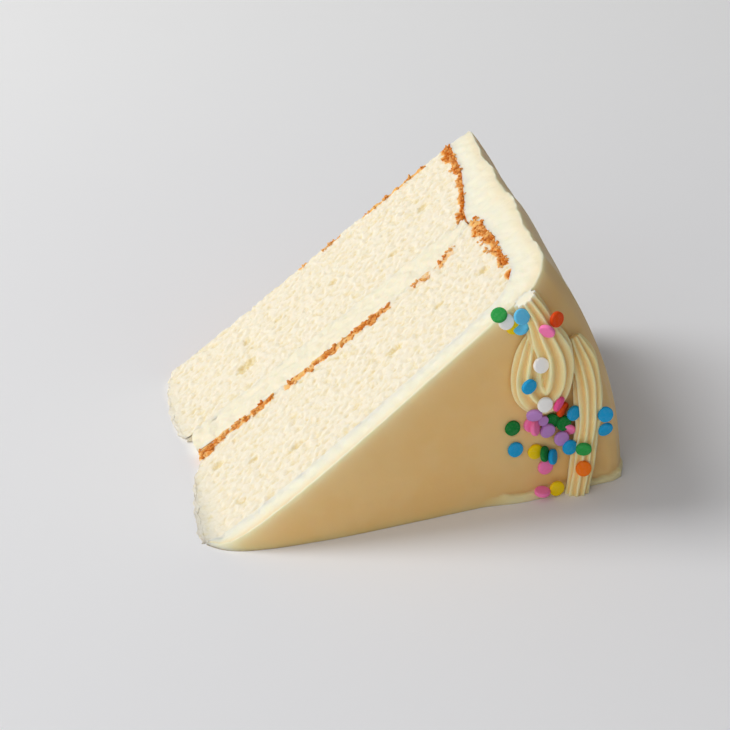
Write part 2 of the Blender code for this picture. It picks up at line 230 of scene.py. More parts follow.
@dataclass(frozen=True)
class SpongeCrumb:
    """Butter sponge, baked: a matte open crumb, painted darker in its hollows for shade, and an oven-browned
    crust.
    """

    name: str = "baked_butter_sponge"
    scatter: float = 0.6
    pale: str = "F6EBD4"
    # Colour of the painted shade in the crumb's hollows; random blotches take it too.
    pit_shade: str = "EDDAA6"
    crust_light: str = "F9BE70"
    crust_dark: str = "D87618"
    cell_mm: float = 0.9
    bump_mm: float = 0.1
    bump_strength: float = 0.7
    blotch_mm: float = 2.6
    blotch_share: float = 0.5
    roughness: float = 0.9
    specular: float = 0.2
    scatter_mm: float = 1.8
    scatter_tint: tuple[float, float, float] = (1.0, 0.9, 0.75)

    def build(self) -> bpy.types.Material:
        """Return the material, which reads the painted shade of the crumb's hollows and the browning
        attribute.

        Returns:
            The new material.
        """
        material, tree, shader = new_material(self.name)
        place = add_node(tree, "ShaderNodeTexCoord").outputs["Object"]
        fine = noise_socket(tree, place, 0.8)
        broad = noise_socket(tree, place, 6.0)
        # Painted shade: the crumb's hollows are painted darker and yellower.
        pit_shading = attribute_socket(tree, "pit_shade")
        deep = add_node(
            tree, "ShaderNodeMath", {}, {0: pit_shading, 1: ramp(tree, fine, 0.3, 0.6)}, operation="MULTIPLY"
        ).outputs[0]
        # Soft blotches, as wide as a few bubbles, keep the crumb from one flat tone.
        blotches = ramp(tree, noise_socket(tree, place, self.blotch_mm), 0.5, 0.72)
        pit_shade_share = add_node(
            tree, "ShaderNodeMath", {1: self.blotch_share}, {0: blotches, 2: deep}, operation="MULTIPLY_ADD",
            use_clamp=True,
        ).outputs[0]
        crumb = blend_colours(tree, pit_shade_share, self.pale, self.pit_shade)
        # Browning is uneven, so fine noise eats into the soft edge of the attribute.
        browning = attribute_socket(tree, "browning")
        eaten = add_node(
            tree, "ShaderNodeMath", {2: -0.3}, {0: fine, 1: broad}, operation="MULTIPLY_ADD"
        ).outputs[0]
        edge = add_node(tree, "ShaderNodeMath", {}, {0: browning, 1: eaten}).outputs[0]
        crust = blend_colours(tree, ramp(tree, edge, 0.55, 1.15), self.crust_light, self.crust_dark)
        colour = blend_colours(tree, ramp(tree, edge, 0.25, 0.6), crumb, crust)
        tree.links.new(colour, shader.inputs["Base Color"])
        shader.inputs["Roughness"].default_value = self.roughness
        shader.inputs["Specular IOR Level"].default_value = self.specular
        shader.inputs["Subsurface Weight"].default_value = self.scatter
        shader.inputs["Subsurface Radius"].default_value = self.scatter_tint
        shader.inputs["Subsurface Scale"].default_value = self.scatter_mm * MM
        bubbles = add_node(
            tree, "ShaderNodeTexVoronoi", {"Scale": 1.0 / (self.cell_mm * MM)}, {"Vector": place}
        ).outputs["Distance"]
        height = add_node(tree, "ShaderNodeMath", {}, {0: bubbles, 1: fine}).outputs[0]
        bump = add_node(
            tree, "ShaderNodeBump", {"Strength": self.bump_strength, "Distance": self.bump_mm * MM},
            {"Height": height},
        )
        tree.links.new(bump.outputs["Normal"], shader.inputs["Normal"])
        return material


@dataclass(frozen=True)
class Buttercream:
    """Crusting buttercream, spread and piped: satin skin, with a paler matte cut. The skin's deeper tint is
    partly painted shade and the cut's paler colour partly painted light; the piping gets painted shade
    between its ridges, and the skin beside the cut a painted glow.
    """

    name: str = "spread_buttercream"
    # The skin's deeper tint is partly painted shade, and the paler cut colour partly painted light.
    skin: str = "F5CF8D"
    # Colour of the painted shade between the piping's ridges.
    groove_shade: str = "F1BD66"
    cut: str = "FAF0D8"
    # Colour of the painted glow on the skin beside the cut.
    edge: str = "FFE8B0"
    roughness: float = 0.48
    grain_mm: float = 1.4
    bump_mm: float = 0.05
    scatter_mm: float = 3.2
    mottle_mm: float = 14.0
    mottle_share: float = 0.22
    specular: float = 0.35
    scatter: float = 0.8
    scatter_tint: tuple[float, float, float] = (1.0, 0.85, 0.62)
    cut_grain: float = 2.5

    def build(self) -> bpy.types.Material:
        """Return the material, which reads three attributes: where the cut's paler colour shows, partly
        painted light; the painted glow beside the cut; and the painted shade between the piping's ridges.

        Returns:
            The new material.
        """
        material, tree, shader = new_material(self.name)
        place = add_node(tree, "ShaderNodeTexCoord").outputs["Object"]
        broad = noise_socket(tree, place, self.mottle_mm, 2.0)
        fine = noise_socket(tree, place, self.grain_mm)
        # Painted shade: the piping is tinted darker and more orange between its ridges, on top of a random
        # mottle.
        groove_shade = attribute_socket(tree, "groove_shade")
        tint = add_node(
            tree, "ShaderNodeMath", {1: self.mottle_share}, {0: ramp(tree, broad, 0.35, 0.65), 2: groove_shade},
            operation="MULTIPLY_ADD", use_clamp=True,
        ).outputs[0]
        skin = blend_colours(tree, tint, self.skin, self.groove_shade)
        # Painted light: the skin beside the cut is painted a warm, bright colour, a painted glow for light
        # that scatters out of the cut.
        skin = blend_colours(tree, attribute_socket(tree, "edge"), skin, self.edge)
        # Where the cut attribute is high, the colour goes to the cut's paler cream, partly its own colour
        # and partly painted light.
        colour = blend_colours(tree, attribute_socket(tree, "cut"), skin, self.cut)
        tree.links.new(colour, shader.inputs["Base Color"])
        shader.inputs["Roughness"].default_value = self.roughness
        shader.inputs["Specular IOR Level"].default_value = self.specular
        shader.inputs["Subsurface Weight"].default_value = self.scatter
        shader.inputs["Subsurface Radius"].default_value = self.scatter_tint
        shader.inputs["Subsurface Scale"].default_value = self.scatter_mm * MM
        # The knife leaves the cut rougher than the skin.
        drag = add_node(
            tree, "ShaderNodeMath", {1: self.cut_grain, 2: 1.0}, {0: attribute_socket(tree, "cut")},
            operation="MULTIPLY_ADD",
        ).outputs[0]
        height = add_node(tree, "ShaderNodeMath", {}, {0: fine, 1: drag}, operation="MULTIPLY").outputs[0]
        bump = add_node(
            tree, "ShaderNodeBump", {"Strength": 0.6, "Distance": self.bump_mm * MM}, {"Height": height}
        )
        tree.links.new(bump.outputs["Normal"], shader.inputs["Normal"])
        return material


@dataclass(frozen=True)
class PressedSugar:
    """Confetti sprinkles, pressed from dyed sugar paste: matte, faintly mottled."""

    colour: SugarColour
    grit_mm: float = 0.7
    worn_share: float = 0.03
    roughness: float = 0.7
    specular: float = 0.15
    bump_mm: float = 0.03

    def build(self) -> bpy.types.Material:
        """Return the material of one colour.

        Returns:
            The new material.
        """
        name = self.colour.name.lower()
        material, tree, shader = new_material(f"pressed_sugar_{name}")
        place = add_node(tree, "ShaderNodeTexCoord").outputs["Object"]
        fine = noise_socket(tree, place, self.grit_mm)
        base = Vector(linear_colour(self.colour.value)[:3])
        worn = mix(base, Vector((1.0, 1.0, 1.0)), self.worn_share)
        node = add_node(
            tree, "ShaderNodeMix", {6: (*base, 1.0), 7: (*worn, 1.0)},
            {0: ramp(tree, fine, 0.4, 0.7)}, data_type="RGBA",
        )
        tree.links.new(node.outputs[2], shader.inputs["Base Color"])
        shader.inputs["Roughness"].default_value = self.roughness
        shader.inputs["Specular IOR Level"].default_value = self.specular
        bump = add_node(
            tree, "ShaderNodeBump", {"Strength": 0.3, "Distance": self.bump_mm * MM}, {"Height": fine}
        )
        tree.links.new(bump.outputs["Normal"], shader.inputs["Normal"])
        return material


@dataclass(frozen=True)
class StudioPaper:
    """Matte seamless paper under the slice."""

    near: str = "F5F5F7"
    # The far colour is painted light at the back of the floor.
    far: str = "FFFFFF"
    fibre: str = "D8D8DC"
    # Where the painted light towards the back starts and ends, in metres.
    painted_light_start: float = 0.0
    painted_light_end: float = 0.45

    def build(self) -> bpy.types.Material:
        """Return the material, painted brighter towards the back of the flat floor: painted light.

        Returns:
            The new material.
        """
        material, tree, shader = new_material("seamless_paper")
        place = add_node(tree, "ShaderNodeTexCoord").outputs["Object"]
        depth = add_node(tree, "ShaderNodeSeparateXYZ", {}, {0: place}).outputs["Y"]
        # Painted light: the floor's colour brightens from the near to the far colour towards the back.
        rise = ramp(tree, depth, self.painted_light_start, self.painted_light_end)
        sweep = blend_colours(tree, rise, self.near, self.far)
        mottle = noise_socket(tree, place, 30.0)
        shade = add_node(tree, "ShaderNodeMath", {1: 0.03}, {0: mottle}, operation="MULTIPLY").outputs[0]
        colour = blend_colours(tree, shade, sweep, self.fibre)
        tree.links.new(colour, shader.inputs["Base Color"])
        shader.inputs["Roughness"].default_value = 0.9
        return material


@dataclass(frozen=True)
class SliceForm:
    """The driving sizes of the slice, in millimetres, and the rule that places its points."""

    angle: float = math.radians(36.0)
    nose_height: float = 1.2
    rim_radius_lower: float = 117.6
    rim_radius_upper: float = 115.0
    base_radius: float = 121.0
    dome_rise: float = 10.6
    dome_slope: float = 0.125
    dome_flat_radius: float = 30.0
    dome_blend: float = 16.0
    tip_radius: float = -3.5
    tip_drop: float = 6.4
    tip_fade: float = 5.0
    lower_slump: float = -0.8
    upper_slump: float = 0.3
    top_frosting: float = 7.3
    rim_start_lower: float = 112.5
    rim_start_upper: float = 108.0
    rim_end_lower: float = 4.0
    rim_end_upper: float = 9.0
    rim_bulge: float = 0.7
    lip_start: float = 72.0
    lip_end: float = 100.0
    lip_height: float = 0.9
    base_at_axis: float = 86.8
    base_slope: float = 0.036
    inner_base_radius: float = 113.6

    def corner(self) -> Vector:
        """Return where the cake's axis meets the level of its rim, in metres in the frame.

        Returns:
            The corner's place.
        """
        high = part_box("frosting_coat")[1]
        deepest = self.base_depth(self.inner_base_radius)
        return Vector((high.x - self.base_radius * MM, high.y - deepest * MM, 0.0))

    def place(self, radius: np.ndarray, depth: np.ndarray, turn: np.ndarray) -> np.ndarray:
        """Place points of the slice in the frame.

        Args:
            radius: Distances from the cake's axis.
            depth: Depths below the rim of the cake's top.
            turn: 0 at the lower cut to 1 at the upper cut.

        Returns:
            One row of X, Y and Z for each point, in metres.
        """
        rise = radius * math.sin(self.angle)
        upper_height = 0.5 * (rise + np.hypot(rise, 2.0 * self.nose_height))
        upward = np.sin(turn * self.angle) / math.sin(self.angle)
        across = radius * np.cos(turn * self.angle)
        return np.column_stack((across, depth, upper_height * upward)) * MM + np.array(self.corner())

    def dome_depth(self, radius: np.ndarray) -> np.ndarray:
        """Return the depth of the domed top at a radius."""
        beyond = radius - self.dome_flat_radius
        return self.dome_slope * 0.5 * (beyond + np.hypot(beyond, self.dome_blend)) - self.dome_rise

    def base_depth(self, radius: Values) -> Values:
        """Return the depth of the cake's base at a radius."""
        return self.base_at_axis + self.base_slope * radius

    def frosted_depth(self, radius: np.ndarray, turn: float) -> np.ndarray:
        """Return the depth of the frosting's face at the radii, at one turn.

        Args:
            radius: Distances from the cake's axis.
            turn: 0 at the lower cut to 1 at the upper cut.

        Returns:
            One depth for each radius.
        """
        tip = self.tip_drop * np.exp((self.tip_radius - radius) / self.tip_fade)
        along = np.clip((radius - self.lip_start) / (self.lip_end - self.lip_start), 0.0, 1.0)
        lip = self.lip_height * np.sin(math.pi * along) * math.exp(-((turn / 0.03) ** 2))
        return self.dome_depth(radius) + tip + mix(self.lower_slump, self.upper_slump, turn) - lip


FORM = SliceForm()


def deselect_everything() -> None:
    """Leave edit mode and deselect all objects."""
    if bpy.context.object and bpy.context.object.mode != "OBJECT":
        bpy.ops.object.mode_set(mode="OBJECT")
    bpy.ops.object.select_all(action="DESELECT")


def select_only(piece: bpy.types.Object) -> None:
    """Make one object the selected and active one."""
    deselect_everything()
    piece.select_set(True)
    bpy.context.view_layer.objects.active = piece


def read_points(piece: bpy.types.Object) -> np.ndarray:
    """Return a mesh's vertex positions, one row each.

    Args:
        piece: The object to read.

    Returns:
        One row of X, Y and Z for each vertex, in metres.
    """
    points = np.empty(len(piece.data.vertices) * 3)
    piece.data.vertices.foreach_get("co", points)
    return points.reshape(-1, 3)


def write_points(piece: bpy.types.Object, points: np.ndarray) -> None:
    """Set a mesh's vertex positions."""
    piece.data.vertices.foreach_set("co", points.astype(np.float32).ravel())
    piece.data.update()


def read_normals(piece: bpy.types.Object) -> np.ndarray:
    """Return a mesh's vertex normals, one row each.

    Args:
        piece: The object to read.

    Returns:
        One row for each vertex.
    """
    normals = np.empty(len(piece.data.vertices) * 3)
    piece.data.vertices.foreach_get("normal", normals)
    return normals.reshape(-1, 3)


def add_attribute(piece: bpy.types.Object, name: str, values: np.ndarray) -> None:
    """Give a mesh one number at each vertex for its material to read."""
    layer = piece.data.attributes.new(name, "FLOAT", "POINT")
    layer.data.foreach_set("value", values.astype(np.float32))


def unit_block(name: str, steps: Steps) -> bpy.types.Object:
    """Add a cube from 0 to 1 and subdivide it along each axis.

    Args:
        name: The new object's name.
        steps: For X, Y and Z, the factors whose product is the number of strips.

    Returns:
        The subdivided block.
    """
    deselect_everything()
    bpy.ops.mesh.primitive_cube_add(size=1.0, location=(0.5, 0.5, 0.5))
    block = bpy.context.object
    block.name = name
    bpy.ops.object.transform_apply(location=True)
    bpy.ops.object.mode_set(mode="EDIT")
    bpy.ops.mesh.select_mode(type="EDGE")
    for axis, factors in enumerate(steps):
        for factor in factors:
            select_edges_along(block, axis)
            bpy.ops.mesh.subdivide(number_cuts=factor - 1)
    bpy.ops.object.mode_set(mode="OBJECT")
    return block


def select_edges_along(piece: bpy.types.Object, axis: int) -> None:
    """Select, in edit mode, only the edges that run along an axis.

    Args:
        piece: The object, in edit mode.
        axis: 0, 1 or 2 for X, Y or Z.
    """
    bpy.ops.mesh.select_all(action="DESELECT")
    builder = bmesh.from_edit_mesh(piece.data)
    others = [index for index in range(3) if index != axis]
    for edge in builder.edges:
        near, far = (corner.co for corner in edge.verts)
        edge.select_set(all(abs(near[index] - far[index]) < 1e-6 for index in others))
    bmesh.update_edit_mesh(piece.data)


def subdivide_end(piece: bpy.types.Object, axis: int, cuts: int) -> None:
    """Subdivide the faces at a unit block's far end along an axis.

    Args:
        piece: The unit block.
        axis: 0, 1 or 2 for X, Y or Z.
        cuts: How many cuts each edge gets.
    """
    select_only(piece)
    bpy.ops.object.mode_set(mode="EDIT")
    bpy.ops.mesh.select_mode(type="FACE")
    bpy.ops.mesh.select_all(action="DESELECT")
    builder = bmesh.from_edit_mesh(piece.data)
    for face in builder.faces:
        face.select_set(all(corner.co[axis] > 1.0 - 1e-6 for corner in face.verts))
    bmesh.update_edit_mesh(piece.data)
    bpy.ops.mesh.subdivide(number_cuts=cuts)
    bpy.ops.object.mode_set(mode="OBJECT")


def smooth_shape(piece: bpy.types.Object, weights: np.ndarray, rounds: int) -> None:
    """Round a mesh off where its weights are high, with a Smooth modifier that is applied.

    Args:
        piece: The object to round off.
        weights: How much each vertex takes part, from 0 to 1.
        rounds: How many times the modifier smooths.
    """
    group = piece.vertex_groups.new(name="rounding")
    for index in np.flatnonzero(weights > 0.01):
        group.add([int(index)], float(weights[index]), "REPLACE")
    change = piece.modifiers.new("rounding", "SMOOTH")
    change.factor = 0.5
    change.iterations = rounds
    change.vertex_group = group.name
    select_only(piece)
    bpy.ops.object.modifier_apply(modifier=change.name)
    piece.vertex_groups.remove(piece.vertex_groups["rounding"])


def search_tree(pieces: list[bpy.types.Object]) -> BVHTree:
    """Return one search tree of several pieces' faces.

    Args:
        pieces: Objects whose meshes are in place.

    Returns:
        The search tree.
    """
    corners, faces = [], []
    for piece in pieces:
        start = len(corners)
        corners += [vertex.co.copy() for vertex in piece.data.vertices]
        faces += [[start + index for index in face.vertices] for face in piece.data.polygons]
    return BVHTree.FromPolygons(corners, faces)


def finish_piece(
    piece: bpy.types.Object, material: bpy.types.Material, crease: float = 180.0
) -> None:
    """Shade a piece smooth, give it its material and slot, and let it ride on the slice.

    Args:
        piece: The finished mesh.
        material: Its material.
        crease: Edges that turn further than this, in degrees, stay sharp.
    """
    select_only(piece)
    bpy.ops.object.shade_smooth_by_angle(angle=math.radians(crease))
    piece.data.materials.clear()
    piece.data.materials.append(material)
    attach(piece, "root")
    LOG.info("%s: %d faces", piece.name, len(piece.data.polygons))


@dataclass(frozen=True)
class Pore:
    """One larger hole in the crumb of a cut face, in millimetres."""

    radius: float
    depth: float
    size: float
    deep: float


@dataclass(frozen=True)
class SpongeLayer:
    """A sponge layer: a block of crumb between a top, a base, a tip and a side.

    Where the layer meets cream it runs on under it, and sinks below it, so that
    the border between them is as uneven as the crumb.
    """

    name: str = "sponge"
    node: str = "sponge"
    top_line: Line = ()
    base_line: Line = ()
    tip_line: Line = ()
    side_line: Line = ()
    pores: tuple[Pore, ...] = ()
    steps: Steps = ((16, 11), (12, 5), (8, 4))
    under_top: float = 0.9
    under_side: float = 0.9
    under_base: float = 0.5
    base_is_bare: bool = False
    crumble: float = 1.1
    chipping: float = 0.45
    tuft_height: float = 0.36
    tuft_mean: float = 0.42
    grit_height: float = 0.38
    bubble_depth: float = 0.35
    sinking: float = 0.35
    base_sinking: float = 0.2
    least_height: float = 0.35
    thin_below: float = 5.0
    thin_relief: float = 0.3

    def along(self, line: Line, values: np.ndarray) -> np.ndarray:
        """Read a line of (place, value) pairs at the given places."""
        places, heights = zip(*line)
        return np.interp(values, places, heights)

    def top_depth(self, radius: np.ndarray) -> np.ndarray:
        """Return the depth of the layer's top."""
        return self.along(self.top_line, radius)

    def base_depth(self, radius: np.ndarray) -> np.ndarray:
        """Return the depth of the layer's base."""
        return self.along(self.base_line, radius)

    def browning(self, radius: np.ndarray, depth: np.ndarray) -> np.ndarray:
        """Return how brown the crust is at each point of a cut, from 0 to 1."""
        raise NotImplementedError

    def fill_block(self, share: np.ndarray) -> tuple[np.ndarray, np.ndarray, np.ndarray]:
        """Turn places in the unit block into radius, depth and turn.

        Args:
            share: Vertices of the unit block.

        Returns:
            One value of each for every vertex.
        """
        across, down, turn = share.T
        tip_first, tip_last = self.tip_line[0][0], self.tip_line[-1][0]
        side_first, side_last = self.side_line[0][0], self.side_line[-1][0]
        tip = self.along(self.tip_line, mix(tip_first, tip_last, down))
        ragged = rough(np.column_stack((down * 40.0, turn * 12.0, 0.0 * turn)), (3.4, 5.0, 1.0), 4)
        tip = tip + self.crumble * ragged
        side = self.along(self.side_line, mix(side_first, side_last, down)) + self.under_side
        radius = mix(tip, side, across)
        base = self.base_depth(radius) + self.under_base
        if self.base_is_bare:
            chipped = rough(np.column_stack((radius, turn * 60.0, 0.0 * turn)), (5.0, 8.0, 1.0), 4)
            base = base + self.chipping * np.minimum(chipped, 0.3) * smooth_step(0.9, 1.0, turn)
        depth = mix(self.top_depth(radius) - self.under_top, base, down)
        return radius, depth, turn

    def sink(self, radius: np.ndarray, depth: np.ndarray) -> np.ndarray:
        """Return how far a cut sinks towards the borders that run on under cream.

        Args:
            radius: Distances from the cake's axis.
            depth: Depths below the rim of the cake's top.

        Returns:
            Millimetres for each point.
        """
        places = np.column_stack((radius, depth, 0.0 * radius))
        uneven = 0.8 * rough(places, (3.0, 3.0, 3.0), 3)
        borders = [
            (depth - self.top_depth(radius), self.under_top, 1.0),
            (self.along(self.side_line, depth) - radius, self.under_side, 1.0),
        ]
        if not self.base_is_bare:
            borders.append((self.base_depth(radius) - depth, self.under_base, self.base_sinking))
        lowest = np.zeros(len(radius))
        for inside, run, share in borders:
            lowest = np.maximum(lowest, share * (1.0 - smooth_step(-run, 1.3, inside + uneven)))
        return self.sinking * lowest

    def relief(self, radius: np.ndarray, depth: np.ndarray) -> np.ndarray:
        """Work out how far the crumb stands out of its cut, in millimetres.

        Args:
            radius: Distances from the cake's axis.
            depth: Depths below the rim of the cake's top.

        Returns:
            Millimetres for each point, below 0 in a hole.
        """
        places = np.column_stack((radius, depth, 0.0 * radius))
        tufts = tuft_noise(places, (3.6, 2.6, 3.0), 4)
        height = self.tuft_height * (tufts - self.tuft_mean)
        height = height + self.grit_height * rough(places, (1.9, 1.5, 1.8), 4)
        holes = smooth_step(0.05, 0.45, rough(places, (4.2, 2.8, 3.0), 2))
        bubbles = 1.0 - smooth_step(0.1, 0.42, cells(places, (2.4, 1.8, 2.0)))
        height = height - self.bubble_depth * bubbles * holes
        wobble = 0.35 * rough(places, (1.6, 1.2, 1.6), 2)
        for pore in self.pores:
            away = np.hypot((radius - pore.radius) / (1.5 * pore.size), (depth - pore.depth) / pore.size)
            height = height - pore.deep * (1.0 - smooth_step(0.25, 1.0, away + wobble))
        return height

    def build(self, material: bpy.types.Material) -> bpy.types.Object:
        """Model the layer, roughen its crumb and dress it.

        Args:
            material: The sponge's material.

        Returns:
            The finished piece.
        """
        piece = unit_block(self.name, self.steps)
        subdivide_end(piece, 2, 1)
        share = read_points(piece)
        radius, depth, turn = self.fill_block(share)
        write_points(piece, FORM.place(radius, depth, turn))
        upper = share[:, 2] > 1.0 - 1e-6
        points = read_points(piece)
        # Where the slice is thin, the crumb can stand out less.
        thick = smooth_step(0.0, self.thin_below, points[upper, 2] / MM)
        height = self.relief(radius[upper], depth[upper]) * mix(self.thin_relief, 1.0, thick)
        sink = self.sink(radius[upper], depth[upper])
        outward = np.array((-math.sin(FORM.angle), 0.0, math.cos(FORM.angle)))
        points[upper] += outward * ((height - sink - 0.1) * MM)[:, None]
        points[:, 2] = np.maximum(points[:, 2], np.where(upper, self.least_height * MM, 0.0))
        write_points(piece, points)
        # Painted shade: the deeper a hollow in the crumb, the more shade is painted into it.
        pit_shade = np.zeros(len(share))
        pit_shade[upper] = np.clip(-height / 0.45, 0.0, 1.0)
        add_attribute(piece, "pit_shade", pit_shade)
        brown = self.browning(radius, depth)
        if self.base_is_bare:
            brown[(share[:, 1] > 1.0 - 1e-6) & (turn < 0.95)] = 0.8
        add_attribute(piece, "browning", brown)
        finish_piece(piece, material)
        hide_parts(self.node)
        return piece


@dataclass(frozen=True)
class TopLayer(SpongeLayer):
    """The upper sponge, browned along its base and round its side."""

    name: str = "top_layer_crumb"
    node: str = "top_layer"
    halo: float = 0.24
    side_line: Line = ((14.1, 106.1), (30.0, 107.1), (46.8, 107.4))
    base_line: Line = ((-5.0, 39.3), (91.0, 39.3), (102.5, 45.9), (107.4, 46.9))
    tip_line: Line = (
        (-2.9, -4.7), (5.0, -4.2), (11.0, -3.6), (17.0, -2.6), (23.0, -1.6), (29.0, 0.2),
        (34.0, 3.2), (39.2, 3.6),
    )
    pores: tuple[Pore, ...] = (
        Pore(31.0, 10.0, 1.6, 0.8), Pore(67.0, 18.0, 1.8, 0.9), Pore(84.0, 22.0, 1.4, 0.7),
        Pore(18.0, 18.0, 1.5, 0.8), Pore(7.0, 27.0, 1.6, 0.9), Pore(10.0, 5.0, 1.4, 0.7),
        Pore(100.0, 22.0, 1.8, 0.9),
    )

    def top_depth(self, radius: np.ndarray) -> np.ndarray:
        """Follow the frosting's dome, and round off to the side.

        Args:
            radius: Distances from the cake's axis.

        Returns:
            One depth for each radius.
        """
        under_dome = FORM.dome_depth(radius) + FORM.top_frosting + 0.2
        corner = self.along(((97.0, 0.0), (103.2, 3.6), (106.1, 7.6), (107.4, 7.7)), radius)
        return under_dome + corner

    def browning(self, radius: np.ndarray, depth: np.ndarray) -> np.ndarray:
        """Brown the base's crust, thickest at the tip and faint near the rim, and the side's crust.

        Args:
            radius: Distances from the cake's axis.
            depth: Depths below the rim of the cake's top.

        Returns:
            One share for each point.
        """
        from_base = self.base_depth(radius) - depth
        places = np.column_stack((radius, depth, 0.0 * radius))
        wander = 1.2 * rough(places, (3.2, 4.5, 1.0), 4) - 0.3
        clumps = mix(0.6, 1.0, smooth_step(-0.3, 0.1, rough(places + 31.0, (6.0, 30.0, 1.0), 2)))
        start = 2.2 * (1.0 - smooth_step(6.0, 11.0, radius))
        strong = hump(3.0, 72.0, radius, 2.0) * (1.0 - 0.9 * hump(31.0, 33.5, radius, 1.2))
        faint = 0.5 * hump(75.0, 96.0, radius, 3.0)
        baked = (strong + faint) * clumps
        base = baked * (1.0 - smooth_step(1.7, 3.0, from_base + wander - start))
        base = np.maximum(base, self.halo * baked * (1.0 - smooth_step(1.5, 5.5, from_base + wander)))
        from_side = self.along(self.side_line, depth) - radius
        wide = 2.6 * smooth_step(33.0, 42.0, depth)
        edge = 1.0 - smooth_step(1.4 + 0.5 * wide, 3.4 + wide, from_side + 0.5 * np.sin(depth * 0.9))
        broken = 1.0 - 0.85 * hump(14.5, 16.5, depth, 1.2)
        halo = 0.36 * (1.0 - smooth_step(3.0, 8.0, from_side)) * hump(24.0, 44.0, depth, 5.0)
        side = np.maximum(edge * broken * (1.0 - 0.35 * smooth_step(38.0, 44.0, depth)), halo)
        side = side * smooth_step(7.5, 10.0, depth)
        return np.clip(np.maximum(base, side), 0.0, 1.0)


@dataclass(frozen=True)
class BottomLayer(SpongeLayer):
    """The lower sponge, browned round its leaning side and along its base."""

    name: str = "bottom_layer_crumb"
    node: str = "bottom_layer"
    base_is_bare: bool = True
    under_base: float = 0.0
    top_line: Line = ((-5.0, 50.0), (103.1, 50.0), (113.2, 50.1))
    base_line: Line = ((-5.0, 86.6), (5.5, 86.9), (113.2, 90.9))
    tip_line: Line = (
        (50.0, 1.0), (54.0, -0.2), (60.0, -0.9), (68.0, -0.6), (76.0, 0.6), (83.0, 2.2), (86.3, 4.2),
    )
    side_line: Line = (
        (50.1, 103.1), (54.1, 104.9), (59.1, 107.0), (66.1, 109.0), (72.1, 110.9), (82.0, 112.3),
        (90.9, 113.2),
    )
    pores: tuple[Pore, ...] = (
        Pore(27.0, 62.0, 3.0, 1.3), Pore(30.0, 73.0, 1.6, 0.8), Pore(62.0, 69.0, 1.5, 0.7),
        Pore(96.0, 71.0, 1.8, 0.9), Pore(42.0, 72.0, 1.4, 0.7), Pore(81.0, 60.0, 1.5, 0.8),
    )

    def browning(self, radius: np.ndarray, depth: np.ndarray) -> np.ndarray:
        """Brown the side's crust, thickest at the base, and, in patches, the base's.

        Args:
            radius: Distances from the cake's axis.
            depth: Depths below the rim of the cake's top.

        Returns:
            One share for each point.
        """
        from_side = self.along(self.side_line, depth) - radius
        wide = 1.6 * smooth_step(78.0, 86.0, depth)
        uneven = 0.5 * np.sin(depth * 0.8) + 0.3 * np.sin(depth * 2.1)
        side = 1.0 - smooth_step(1.0 + wide, 2.8 + wide, from_side + uneven)
        from_base = self.base_depth(radius) - depth
        patches = hump(54.5, 57.0, radius, 1.0) + hump(64.0, 70.0, radius, 1.5)
        patches = patches + hump(80.0, 103.0, radius, 2.0)
        base = 0.8 * patches * (1.0 - smooth_step(0.6, 1.9, from_base))
        return np.clip(np.maximum(base, side), 0.0, 1.0)


@dataclass(frozen=True)
class Grain:
    """One crumb's place on the upper cut, its width in millimetres and its browning."""

    radius: float
    depth: float
    width: float
    brown: float


